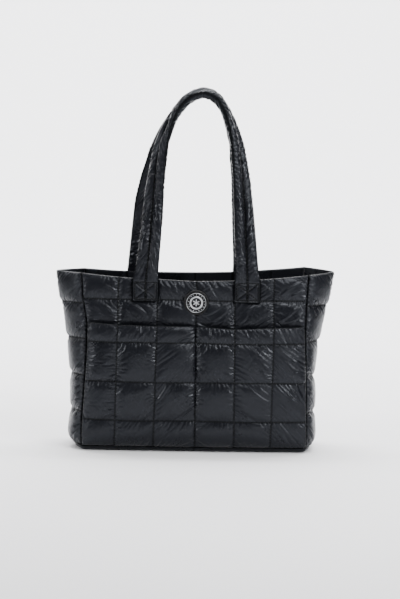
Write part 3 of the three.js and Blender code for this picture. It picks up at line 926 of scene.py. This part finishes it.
class TOTE_OT_front_panel(bpy.types.Operator):
    """Front panel: flat behind the pocket, quilted above it, pressed under badge and handles"""
    bl_idname = "tote.front_panel"
    bl_label = "Front panel"

    def execute(self, context):
        scene = context.scene
        body, quilt, pocket = scene.tote_body, scene.tote_quilt, scene.tote_pocket
        handle, badge = scene.tote_handle, scene.tote_badge
        # The squares are tucked in 4 mm below the pocket's mouth. The cloth under that is hidden
        # and is cut into few steps.
        tucked, hidden_steps = body.bag_height - pocket.drop - 4 * MM, 14
        top, badge_z = body.bag_height - quilt.rim_row, body.bag_height - badge.drop
        rows = np.array([body.seam_height + body.seam_gap, tucked, top, body.bag_height])
        columns = panel_columns(body, quilt)
        rim_lines = panel_row_lines(rows, 12, FRONT_RIM, body.rim_sag)

        def tuck_line(x):
            """Height of the line along which the squares are tucked in behind the pocket."""
            return tucked + rise_along(POCKET_MOUTH, x / columns[-1])

        def row_lines(across):
            found = rim_lines(across)
            found[1] = tuck_line(across)
            return found

        def pressed(x, z):
            off_badge = np.hypot(x, z - badge_z) - badge.diameter * 0.3
            return np.clip(
                under_tabs(body, handle, x, z) + np.clip(1 - off_badge / MM, 0, 1)
                + np.clip((tuck_line(x) + 0.5 * MM - z) / MM, 0, 1), 0, 1,
            )

        lines = (columns, rows, panel_column_lines(body, columns, rows, 11), row_lines)
        counts = cell_counts(lines, quilt.sim_step, quilt.sim_step * 0.95)
        counts[1][0] = hidden_steps
        cloth, offset = puffed(
            quilt, lines, counts, quilt.panel_puff, (1.035, 1.05), (0, 0, 2, 0, -2.5, 1.5, 0), 101,
            pressed, PRESSED_LEVEL,
        )
        offset[..., 2] *= cloth.row_cell[:, None] > 0
        free = 1 - pressed(cloth.x, cloth.z)
        offset[..., 2] += free * fold_relief(cloth, UPPER_FOLDS, 1)
        offset[..., 2] += free * crumpling(quilt, cloth, 160)
        tall_panel(
            context, ("quilted_front", "front_panel", "quilted_front_stitching"), cloth, offset,
            turn=(1, -1, 1), first_row=np.flatnonzero(cloth.row_cell > 0)[0],
        )
        return {"FINISHED"}


def crumpling(quilt, cloth, seed):
    """The crumples on a cloth's squares: none on the stitching."""
    inside = stuffed(cloth.column_share)[None, :] * stuffed(cloth.row_share)[:, None]
    return quilt.crumple * crumples(cloth.x, cloth.z, seed) * inside


class TOTE_OT_back_panel(bpy.types.Operator):
    """Back panel: quilted from the base to the rim"""
    bl_idname = "tote.back_panel"
    bl_label = "Back panel"

    def execute(self, context):
        scene = context.scene
        body, quilt, handle = scene.tote_body, scene.tote_quilt, scene.tote_handle
        stray = HANDLE_LEG["stray"][0] * MM
        pressed = lambda x, z: under_tabs(body, handle, x, z, stray)
        first = body.bag_height - quilt.rim_row
        rows = np.append(lines_below(body, first, quilt.pitch), body.bag_height)
        columns = panel_columns(body, quilt)
        lines = (
            columns, rows, panel_column_lines(body, columns, rows, 21),
            panel_row_lines(rows, 22, BACK_RIM, body.rim_sag),
        )
        cloth, offset = puffed(
            quilt, lines, cell_counts(lines, quilt.sim_step * 1.3), quilt.panel_puff,
            (1.05, 1.05), (0, 2, -1, 1, -2, 1, 0), 201, pressed, PRESSED_LEVEL,
        )
        offset[..., 2] += (1 - pressed(cloth.x, cloth.z)) * crumpling(quilt, cloth, 260)
        names = ("quilted_back", "back_panel", "quilted_back_stitching")
        tall_panel(context, names, cloth, offset, stray)
        return {"FINISHED"}


class TOTE_OT_gussets(bpy.types.Operator):
    """Side gussets: two quilted columns folded outwards on the line between them"""
    bl_idname = "tote.gussets"
    bl_label = "Gussets"

    def execute(self, context):
        body, quilt = context.scene.tote_body, context.scene.tote_quilt
        first = body.bag_height - quilt.rim_row - quilt.gusset_shift
        rows = np.append(lines_below(body, first, quilt.gusset_pitch), body.bag_height)
        half = body.base_depth / 2
        columns = np.array([-half, 0.0, half])
        for side, name, seed in ((1, "right", 31), (-1, "left", 36)):
            surface = lambda x, z: gusset_points(body, x / half, z, body.wall / 2, side)
            ends = [rim[-1] if side > 0 else rim[0] for rim in (FRONT_RIM, BACK_RIM)]
            lines = (columns, rows, None, panel_row_lines(rows, seed + 1, ends))
            cloth, offset = puffed(
                quilt, lines, cell_counts(lines, quilt.sim_step), quilt.gusset_puff,
                (1.09, 1.11), (3, -3, 3), seed * 10,
            )
            offset[..., 2] += crumpling(quilt, cloth, seed * 10 + 60)
            names = ("quilted_gusset_" + name, "gusset_" + name, "gusset_stitching_" + name)
            quilted_piece(
                context, names, cloth, offset, surface, body.wall,
                body.bag_height - quilt.facing, axis=0, turn=(side, 1, 1),
            )
        return {"FINISHED"}


class TOTE_OT_base(bpy.types.Operator):
    """Base: a padded tray, flat underneath, whose edge curls up to the seam"""
    bl_idname = "tote.base"
    bl_label = "Base"

    def execute(self, context):
        body, quilt = context.scene.tote_body, context.scene.tote_quilt
        section = section_at(body, np.array([body.seam_height]))
        half_width, half_depth = float(section.half_width[0]), float(section.half_depth[0])
        lines = (*(np.array([-half, 0.0, half]) for half in (half_width, half_depth)), None, None)
        cloth = quilted_cloth(lines, cell_counts(lines, quilt.sim_step))
        across, depth = cloth.x / half_width, cloth.z / half_depth
        height = np.full(cloth.x.shape, body.seam_height)

        def edge(inset):
            """The tray's outline: the panel's and the gusset's edges, multiplied together."""
            corner_x, corner_y = corner_of(section_at(body, height), inset)
            front = panel_points(body, across * corner_x, height, inset)
            left, right = (gusset_points(body, depth, height, inset, side) for side in (-1, 1))
            reach = np.where(across < 0, left[..., 0], right[..., 0])
            return reach * front[..., 0] / corner_x, front[..., 1] * left[..., 1] / corner_y

        beyond_x = np.maximum(0, 1 - (1 - np.abs(across)) * half_width / body.base_curl)
        beyond_y = np.maximum(0, 1 - (1 - np.abs(depth)) * half_depth / body.base_curl)
        curl = 1 - np.sqrt(1 - np.maximum(beyond_x, beyond_y) ** 2)
        wrinkle = crumples(cloth.x, cloth.z, 77) * 0.8 * MM
        outer_z = body.seam_height * curl + np.abs(wrinkle) * curl * (1 - curl)
        inner_z = body.base_wall + (body.seam_height - body.base_wall) * curl + wrinkle * (1 - curl)
        outer = np.stack([*edge(0), outer_z], axis=-1)
        inner = np.stack([*edge(body.wall), inner_z], axis=-1)
        cloth_piece(context, "padded_base", "base_panel", cloth, outer, inner, np.inf)
        return {"FINISHED"}


class TOTE_OT_pocket(bpy.types.Operator):
    """Front pocket: one quilted panel, sewn down at the sides, the middle and the base"""
    bl_idname = "tote.pocket"
    bl_label = "Pocket"

    def execute(self, context):
        scene = context.scene
        body, quilt, pocket = scene.tote_body, scene.tote_quilt, scene.tote_pocket
        mouth, floor = body.bag_height - pocket.drop, body.seam_height + body.seam_gap
        rows = np.append(lines_below(body, mouth - pocket.hem, quilt.pitch), mouth)
        columns = panel_columns(body, quilt)
        lines = (
            columns, rows,
            panel_column_lines(body, columns, rows, 41, POCKET_DRIFT, pocket.inset),
            panel_row_lines(rows, 42, POCKET_MOUTH),
        )
        cloth, offset = puffed(
            quilt, lines, cell_counts(lines, quilt.sim_step), quilt.pocket_puff, (1.035, 1.038),
            (0, 0.5, 2, 5, 4, 2, -2.5), 401,
        )
        offset[..., 2] += crumpling(quilt, cloth, 460)

        def surface(x, z):
            """The body's outline, moved out by the gap and by the slack of the open mouth."""
            place = panel_points(body, x, z, 0)
            seam = corner_of(section_at(body, z), 0)[0]
            across = np.clip(np.abs(x) / seam, 0, 1)
            share = np.sqrt(np.clip((z - floor) / (mouth - floor), 0, 1))
            slack = pocket.slack * share * np.sqrt(4 * across * (1 - across))
            place[..., 1] += pocket.gap + pocket.wall / 2 + slack
            return place

        quilted_piece(
            context, ("quilted_pocket", "front_pocket", "quilted_pocket_stitching"), cloth, offset,
            surface, pocket.wall, mouth - pocket.hem, turn=(1, -1, 1),
        )
        return {"FINISHED"}


def handle_stations(body, handle):
    """Middle points, turns, fills and strays of the front handle from its left leg's sewn end,
    over the crown, to the right leg's, which strays in its own way."""
    bottom = body.bag_height - handle.drop
    top = bottom + handle.sewn
    seat = seat_depths(bottom, top)
    crown = -(handle.width - handle.drawn_in + handle.crown_gap) / 2
    # The sewn end's bottom and middle come before the table's rows and are like its first one.
    leg = {key: np.array([column[0], column[0], *column]) for key, column in HANDLE_LEG.items()}
    x = -handle.spacing / 2 * leg["spread"]
    y = np.concatenate([seat[:2], seat[2] + (crown - seat[2]) * leg["lean"][2:]])
    z = np.concatenate([[bottom, (bottom + top) / 2], top + handle.rise * leg["rise"][2:]])
    over = lambda left, right: np.concatenate([left, right[-2::-1]])
    sway = over(leg["sway"], leg["sway"]) * MM
    points = np.stack([over(x, -x) + sway, over(y, y), over(z, z)], axis=-1)
    values = [over(leg["turn"], leg["turn"]), over(leg["fill"], leg["fill"])]
    return points, np.stack([*values, over(leg["stray"], leg["stray_right"]) * MM], axis=-1)


def seat_depths(bottom, top):
    """Depths of the sewn end's middle at its bottom, middle and top, from the handle's CAD node."""
    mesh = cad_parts["handle_front"].data
    points = np.empty(len(mesh.vertices) * 3)
    mesh.vertices.foreach_get("co", points)
    points = points.reshape(-1, 3)
    depths = []
    for height in (bottom, (bottom + top) / 2, top):
        near = points[np.abs(points[:, 2] - height) < 5 * MM, 1]
        depths.append((near.min() + near.max()) / 2)
    return np.array(depths)


def length_along(path):
    """The length of a path up to each of its points."""
    return np.concatenate([[0], np.cumsum(np.linalg.norm(np.diff(path, axis=0), axis=1))])


def found_along(places, run, rows):
    """Rows that belong to lengths along a path, at other lengths along it."""
    return np.stack([np.interp(places, run, column) for column in rows.T], axis=-1)


def through_points(points, values, step):
    """A smooth path through points at even steps: Catmull-Rom pieces whose knots are spaced by
    the root of the distance between points, resampled by length. values follow it."""
    ends = np.concatenate([2 * points[:1] - points[1:2], points, 2 * points[-1:] - points[-2:-1]])
    gaps = np.sqrt(np.linalg.norm(np.diff(ends, axis=0), axis=1))
    knots = np.concatenate([[0], np.cumsum(gaps)])
    path, follow = [], []
    for i in range(1, len(points)):
        t0, t1, t2, t3 = knots[i - 1:i + 3]
        t = np.linspace(t1, t2, 24, endpoint=False)[:, None]
        blend = lambda low, high, a, b: (high - t) / (high - low) * a + (t - low) / (high - low) * b
        p0, p1, p2, p3 = ends[i - 1:i + 3]
        a1, a2, a3 = blend(t0, t1, p0, p1), blend(t1, t2, p1, p2), blend(t2, t3, p2, p3)
        path.append(blend(t1, t2, blend(t0, t2, a1, a2), blend(t1, t3, a2, a3)))
        share = (t - t1) / (t2 - t1)
        follow.append(values[i - 1] * (1 - share) + values[i] * share)
    path, follow = np.concatenate(path + [points[-1:]]), np.concatenate(follow + [values[-1:]])
    run = length_along(path)
    even = np.linspace(0, run[-1], round(run[-1] / step) + 1)
    return even, found_along(even, run, path), found_along(even, run, follow)


def unit(vectors):
    """Vectors scaled to length one."""
    return vectors / np.maximum(np.linalg.norm(vectors, axis=-1, keepdims=True), 1e-12)


class TOTE_OT_handles(bpy.types.Operator):
    """Handles: two padded straps with a stitched groove, sewn on by boxed crosses"""
    bl_idname = "tote.handles"
    bl_label = "Handles"

    def execute(self, context):
        scene = context.scene
        body, quilt, handle = scene.tote_body, scene.tote_quilt, scene.tote_handle
        run, path, follow = through_points(*handle_stations(body, handle), 1 * MM)
        along = unit(np.gradient(path, axis=0))
        back = np.tile([0.0, 1.0, 0.0], (len(path), 1))
        back = unit(back - along * (back * along).sum(-1, keepdims=True))
        inward = np.cross(back, along)
        angle = follow[:, :1] * np.pi / 2
        across = inward * np.cos(angle) - back * np.sin(angle)
        face = np.cross(across, along)
        total, half = run[-1], handle.width / 2
        lines = (np.array([-half, 0.0, half]), np.array([0.0, total]), None, None)
        counts = cell_counts(lines, quilt.sim_step)
        sewn = lambda x, z: (np.minimum(z, total - z) < handle.sewn - 2 * MM).astype(float)
        padded = (handle.thickness - handle.strap_wall) / 2

        def surface(x, z):
            """Places in the strap's middle surface, which is narrower where it is padded."""
            share = 1 - handle.drawn_in / handle.width * np.interp(z, run, follow[:, 1])
            return found_along(z, run, path) + found_along(z, run, across) * (x * share)[..., None]

        sides = [
            puffed(quilt, lines, counts, padded * 1.35, (1.09, 1.03), (0, 1, 0), seed, sewn)
            for seed in (510, 570)
        ]
        cloth = sides[0][0]
        filled = np.interp(cloth.z, run, follow[:, 1])
        away = tab_line_distance(cloth, total, handle)
        groove = handle.groove * np.exp(-((away / (0.9 * MM)) ** 2))
        walls = (handle.tab_thickness * (1 - filled) + handle.strap_wall * filled) / 2
        # On its outside, the sewn end's cloth swells a little between the lines of its cross.
        swell = 0.8 * MM * (1 - np.exp(-((away / (2.2 * MM)) ** 2))) * (1 - filled)
        offsets = []
        for (_, offset), more in zip(sides, (swell, 0)):
            offset[..., 2] *= padded / np.percentile(offset[..., 2], 90)
            offset = offset * filled[..., None]
            offset[..., 2] += walls - groove + more
            offsets.append(offset)
        normal = unit(found_along(cloth.z, run, face))
        outer, inner = two_faces(surface, normal, cloth, offsets)
        stray = np.interp(cloth.z, run, follow[:, 2])
        middle = counts[0][0] * REFINED
        for name, turn, strayed in (("front", (1, 1, 1), 0 * stray), ("back", (1, -1, 1), stray)):
            leftwards = strayed[..., None] * np.array([-1, 0, 0])
            near, far = (side * np.array(turn) + leftwards for side in (outer, inner))
            out = normal * np.array(turn)
            cloth_piece(
                context, "padded_handle_" + name, "handle_" + name, cloth, near, far, -np.inf,
                # Painted shade along the sewn ends' stitched lines and down the strap's middle
                # groove.
                stitched=stitch_shade_of(np.minimum(away * 1.4, np.abs(cloth.x) * 0.6)),
            )
            paths = [(near[:, middle], out[:, middle]), (far[:, middle], -out[:, middle])]
            for x, z in tab_lines(handle, total):
                place = (x / half / 2 + 0.5, z / total)
                paths.append((sample_grid(near, *place), sample_grid(out, *place)))
            sew(context, "handle_stitching_" + name, paths)
        return {"FINISHED"}


def sample_grid(grid, across, along):
    """Points of a grid at shares of its columns and rows, between its own points in a straight
    line."""
    rows, columns = grid.shape[:2]
    column, row = across * (columns - 1), along * (rows - 1)
    c = np.clip(np.floor(column).astype(int), 0, columns - 2)
    r = np.clip(np.floor(row).astype(int), 0, rows - 2)
    s, t = (column - c)[..., None], (row - r)[..., None]
    low = grid[r, c] * (1 - s) + grid[r, c + 1] * s
    high = grid[r + 1, c] * (1 - s) + grid[r + 1, c + 1] * s
    return low * (1 - t) + high * t


def tab_box(handle):
    """Half width, bottom and top of the box stitched on a sewn end."""
    return handle.width / 2 - 3 * MM, 3 * MM, handle.sewn - 1.5 * MM


def tab_lines(handle, total):
    """The stitched lines of both sewn ends, on the strap's flat pattern: a box, two sides of a
    smaller one inside it, a cross and a middle line."""
    half, low, high = tab_box(handle)
    middle, smaller, points = (low + high) / 2, 0.86, 30
    corners = [(-half, low), (half, low), (half, high), (-half, high), (-half, low)]
    inner = [(x * smaller, (z - middle) * smaller + middle) for x, z in corners[:3]]
    cross = [[corners[0], corners[2]], [corners[1], corners[3]]]
    found = []
    for line in (corners, inner, *cross, [(0, low), (0, high)]):
        x, z = (
            np.concatenate([np.linspace(a, b, points) for a, b in zip(places[:-1], places[1:])])
            for places in np.array(line).T
        )
        found += [(x, z), (x, total - z)]
    return found


def tab_line_distance(cloth, total, handle):
    """Distance to the stitched lines of the sewn ends: a box, its two diagonals and its middle."""
    half, low, high = tab_box(handle)
    side, near = cloth.x, np.minimum(cloth.z, total - cloth.z)
    middle, reach = (low + high) / 2, (high - low) / 2
    slope = reach / half
    outside = np.maximum(np.abs(side) - half, np.abs(near - middle) - reach)
    diagonals = [np.abs((near - middle) - s * slope * side) / math.hypot(1, slope) for s in (-1, 1)]
    inner = np.where(outside > 0, 1.0, np.minimum(np.minimum(*diagonals), np.abs(side)))
    return np.minimum(inner, np.abs(outside))


def turned_mesh(profile, sides=96):
    """A closed surface turned round the badge's axis, which runs towards the front, from rows of
    radius and height that start and end on the axis: points and faces."""
    profile = np.array(profile)
    radius, height = profile[1:-1, :1], profile[1:-1, 1:]
    theta = np.arange(sides) / sides * 2 * np.pi
    rings = np.stack([
        radius * np.cos(theta), np.repeat(-height, sides, axis=1), radius * np.sin(theta),
    ], axis=-1)
    tips = [[0, -profile[i, 1], 0] for i in (0, -1)]
    faces = ring_quads(len(rings), sides)[:, ::-1].tolist()
    count, ring = len(rings) * sides, np.arange(sides)
    faces += [[count, int(a), int(b)] for a, b in zip(ring, np.roll(ring, -1))]
    top = count - sides + ring
    faces += [[count + 1, int(b), int(a)] for a, b in zip(top, np.roll(top, -1))]
    return np.concatenate([rings.reshape(-1, 3), tips]), faces


class TOTE_OT_badge(bpy.types.Operator):
    """Badge: a rubber rim round an enamelled plate with a bright ring, ticks, a star and a stud"""
    bl_idname = "tote.badge"
    bl_label = "Badge"

    def execute(self, context):
        badge = context.scene.tote_badge
        low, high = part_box("badge_disc")
        middle = context.scene.tote_body.bag_height - badge.drop
        centre = np.array([(low.x + high.x) / 2, high.y, middle])
        thick = high.y - low.y
        radius, plate = badge.diameter / 2, badge.plate / 2
        # The rim's bead is a half ellipse, seven tenths as high as it is wide.
        bead = (radius + plate) / 2 + 0.2 * MM
        reach = (radius - plate) / 2 - 0.2 * MM
        rise = reach * 0.7
        rim = [
            (0, 0), (radius - 0.4 * MM, 0), (radius, 0.4 * MM),
            *[(bead + reach * math.cos(a), thick - rise + rise * math.sin(a))
              for a in np.linspace(0, np.pi, 15)],
            (plate + 0.2 * MM, thick - 0.9 * MM), (0, thick - 0.9 * MM),
        ]
        points, faces = turned_mesh(rim)
        rubber = [material_named(context, "moulded_silicone_rubber")]
        piece = add_mesh("badge_rim", points + centre, faces, rubber)
        mount_piece(piece, "badge_disc")
        centre[1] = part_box("badge_plate")[1].y
        face, ring, width = 1.2 * MM, badge.ring / 2, badge.ring_width
        edge, stud = plate - 0.6 * MM, 1.6 * MM
        raised = face + 0.7 * MM
        profile = [
            (0, 0), (plate, 0), (plate, face + 0.3 * MM), (plate - 0.2 * MM, face + 0.5 * MM),
            (edge, face + 0.5 * MM), (edge - 0.15 * MM, face), (ring, face),
            (ring - 0.25 * MM, raised - 0.15 * MM), (ring - 0.5 * MM, raised),
            (ring - width + 0.5 * MM, raised), (ring - width + 0.25 * MM, raised - 0.15 * MM),
            (ring - width, face), (stud, face), (stud - 0.2 * MM, raised - 0.2 * MM),
            (stud - 0.5 * MM, raised), (stud * 0.5, raised + 0.15 * MM), (0, raised + 0.2 * MM),
        ]
        points, faces = turned_mesh(profile)
        # The enamel fills the low faces outside the bright ring and between it and the stud.
        reach = np.hypot(points[:, 0], points[:, 2])
        middle = np.array([reach[f].mean() for f in faces])
        height = np.array([-points[f, 1].max() for f in faces])
        near = 0.1 * MM
        inside = (middle < ring - width + near) & (middle > stud - near)
        low_face = (height < face + 0.05 * MM) & (middle < edge)
        enamel = low_face & ((middle > ring - near) | inside)
        materials = [material_named(context, n) for n in ("nickel_plated_zinc", "black_enamel")]
        piece = add_mesh("badge_face", points + centre, faces, materials, enamel.astype(int))
        mount_piece(piece, "badge_plate")
        first, last = ring + 1.3 * MM, edge - 1.2 * MM
        starts = (first, first + (last - first) * 0.38)
        self.add_bars(context, "badge_ticks", centre, face, 18, 0.42 * MM, starts, last)
        self.add_bars(context, "badge_star", centre, face, 6, 0.75 * MM, (stud, stud), 5.4 * MM)
        return {"FINISHED"}

    def add_bars(self, context, name, centre, face, count, half, starts, outer):
        """Raised bars round the plate with domed tops; starts are where they begin by turns."""
        high = 0.45 * MM
        section = [(-1, 0), (-0.85, high * 0.75), (-0.4, high)]
        section += [(-a, h) for a, h in section[::-1]]
        lift = np.array([0, -1, 0])
        points, faces = [], []
        for i in range(count):
            angle = 2 * np.pi * (i + 0.5) / count
            out = np.array([math.cos(angle), 0, math.sin(angle)])
            over = np.array([-math.sin(angle), 0, math.cos(angle)])
            start = starts[i % 2]
            ends = ((start, 0.5), (start + half, 1), (outer - half, 1), (outer, 0.5))
            first = len(points) * len(section) * len(ends)
            points.append(np.array([
                out * r + over * (w * half) * a + lift * (face + h)
                for r, w in ends for a, h in section
            ]))
            faces += ring_quads(len(ends), len(section), first).tolist()
            cap = [first + k for k in range(len(section))]
            faces += [cap[::-1], [(len(ends) - 1) * len(section) + k for k in cap]]
        metal = [material_named(context, "nickel_plated_zinc")]
        piece = add_mesh(name, np.concatenate(points) + centre, faces, metal)
        mount_piece(piece, None)


# A stitch's rings: their share of its length, their size and how far they are lifted, both as
# shares of the thread's thickness.
STITCH_RINGS = (
    (0.0, 0.35, -0.35), (0.14, 0.9, 0.1), (0.5, 1.0, 0.35), (0.86, 0.9, 0.1), (1.0, 0.35, -0.35),
)


def thread_mesh(starts, ends, outwards, thickness):
    """Stitches as short capsules: six-sided rings at five places along each, closed at the ends,
    the middle a little proud of the cloth and both ends sunk into it."""
    sides = 6
    along = ends - starts
    side = unit(np.cross(along, outwards))
    lift = unit(np.cross(side, along))
    theta = np.arange(sides) / sides * 2 * np.pi
    rings = []
    for share, size, height in STITCH_RINGS:
        centre = starts + along * share + lift * height * thickness
        offset = (
            side[:, None, :] * np.cos(theta)[None, :, None]
            + lift[:, None, :] * np.sin(theta)[None, :, None]
        ) * size * thickness / 2
        rings.append(centre[:, None, :] + offset)
    first = np.arange(len(starts)) * len(rings) * sides
    quads = (first[:, None, None] + ring_quads(len(rings), sides)[None]).reshape(-1, 4)
    cap = first[:, None] + np.arange(sides)[None]
    faces = [*quads.tolist(), *cap[:, ::-1].tolist(), *(cap + (len(rings) - 1) * sides).tolist()]
    return np.stack(rings, axis=1).reshape(-1, 3), faces


def stitches_along(path, outward, stitch):
    """Cuts a path into stitches, with gaps of three tenths of one: the starts, ends and outward
    directions of each."""
    run = length_along(path)
    count = int(run[-1] // (stitch + stitch * 0.3))
    at = (np.arange(count) + 0.5) * run[-1] / count
    starts, ends = (found_along(at + sign * stitch / 2, run, path) for sign in (-1, 1))
    return starts, ends, unit(found_along(at, run, outward))


class TOTE_OT_stage(bpy.types.Operator):
    """Stage: pale floor and backdrop, soft studio lights and the camera"""
    bl_idname = "tote.stage"
    bl_label = "Stage"

    def execute(self, context):
        self.add_floor(context)
        self.add_lights(context)
        self.add_camera(context)
        return {"FINISHED"}

    def add_floor(self, context):
        """A floor that sweeps up into a backdrop on a quarter circle, in metres."""
        front, bend, radius, top = -1.0, 2.0, 1.5, 6.0
        turn = np.linspace(0, np.pi / 2, 13)[1:]
        depth = np.concatenate([
            np.linspace(front, bend, 9), bend + radius * np.sin(turn), [bend + radius],
        ])
        height = np.concatenate([np.zeros(9), radius - radius * np.cos(turn), [top]])
        half_width = np.interp(depth, (1.4, 2.0), (1.4, 6.0))
        points = [
            (side * half, y, z) for half, y, z in zip(half_width, depth, height)
            for side in (-1, 0, 1)
        ]
        paint = [material_named(context, "matt_studio_paint")]
        quads = grid_quads(np.arange(len(points)).reshape(-1, 3))
        add_mesh("studio_floor", points, quads, paint)

    def add_lights(self, context):
        """White area lights by name: place, aim, size both ways and power, and a dim world."""
        lights = (
            ("backdrop", (0, 0.9, 3.2), (0, 3.5, 1.4), (6, 1.2), 640),
            ("floor_behind", (0, 0.7, 3.2), (0, 1.2, 0), (2.4, 1.2), 95),
            ("overhead", (0, -0.5, 2.4), (0, -0.1, 0.2), (1.6, 1.2), 14),
            ("right_key", (1.9, -1.7, 1.1), (0, 0, 0.2), (0.12, 0.3), 62),
            ("front_fill", (0.28, -0.75, 1.05), (0, 0, 0.27), (0.4, 0.3), 8.5),
            ("front_card", (0.1, -1.7, 0.03), (0, 0, 0.35), (1.4, 0.3), 3.5),
            ("left_strip", (-2.0, -0.9, 0.9), (0, 0, 0.2), (0.2, 1.0), 30),
        )
        for name, place, aim, size, power in lights:
            data = bpy.data.lights.new(name, "AREA")
            data.shape = "RECTANGLE"
            data.size, data.size_y = size
            data.energy = power
            lamp = bpy.data.objects.new(name, data)
            lamp.location = place
            direction = Vector(aim) - Vector(place)
            lamp.rotation_euler = direction.to_track_quat("-Z", "Y").to_euler()
            context.scene.collection.objects.link(lamp)
        world = bpy.data.worlds.new("studio")
        world.use_nodes = True
        background = world.node_tree.nodes["Background"]
        background.inputs["Color"].default_value = (0.93, 0.95, 1.0, 1)
        background.inputs["Strength"].default_value = 0.08
        context.scene.world = world

    def add_camera(self, context):
        """A long lens in front of the bag, a little to its left and above its rim."""
        image_height, pixel, distance = 599, 1.552 * MM, 3.0
        azimuth, elevation, roll = (math.radians(angle) for angle in (-1.05, 5.8, 1.02))
        target = Vector((0.0058, -0.06, 0.2397))
        back = Vector((
            math.sin(azimuth) * math.cos(elevation),
            -math.cos(azimuth) * math.cos(elevation), math.sin(elevation),
        ))
        data = bpy.data.cameras.new("camera")
        data.sensor_width = 36.0
        data.lens = data.sensor_width / 2 / (image_height * pixel / 2 / distance)
        data.clip_start, data.clip_end = 0.05, 50.0
        camera = bpy.data.objects.new("camera", data)
        camera.rotation_mode = "QUATERNION"
        camera.location = target + back * distance
        turned = (-back).to_track_quat("-Z", "Y")
        camera.rotation_quaternion = turned @ Quaternion((0, 0, 1), roll)
        context.scene.collection.objects.link(camera)
        context.scene.camera = camera


class TOTE_PT_builder(bpy.types.Panel):
    """Lists the builders of the bag's pieces"""
    bl_idname = "TOTE_PT_builder"
    bl_label = "Puffer tote"
    bl_space_type = "VIEW_3D"
    bl_region_type = "UI"
    bl_category = "Puffer tote"

    def draw(self, context):
        for operator in OPERATORS:
            self.layout.operator(operator.bl_idname)
        for group, kind in GROUPS.items():
            box = self.layout.box()
            box.label(text=kind.__doc__)
            for name in kind.__annotations__:
                box.prop(getattr(context.scene, group), name)


OPERATORS = (
    TOTE_OT_front_panel, TOTE_OT_back_panel, TOTE_OT_gussets, TOTE_OT_base, TOTE_OT_pocket,
    TOTE_OT_handles, TOTE_OT_badge, TOTE_OT_stage,
)
CLASSES = (*GROUPS.values(), *OPERATORS, TOTE_PT_builder)


def register():
    for cls in CLASSES:
        bpy.utils.register_class(cls)
    for name, group in GROUPS.items():
        setattr(bpy.types.Scene, name, bpy.props.PointerProperty(type=group))


def unregister():
    for name in GROUPS:
        delattr(bpy.types.Scene, name)
    for cls in reversed(CLASSES):
        bpy.utils.unregister_class(cls)


def main():
    register()
    for operator in OPERATORS:
        group, name = operator.bl_idname.split(".")
        getattr(getattr(bpy.ops, group), name)()


if __name__ == "__main__":
    main()
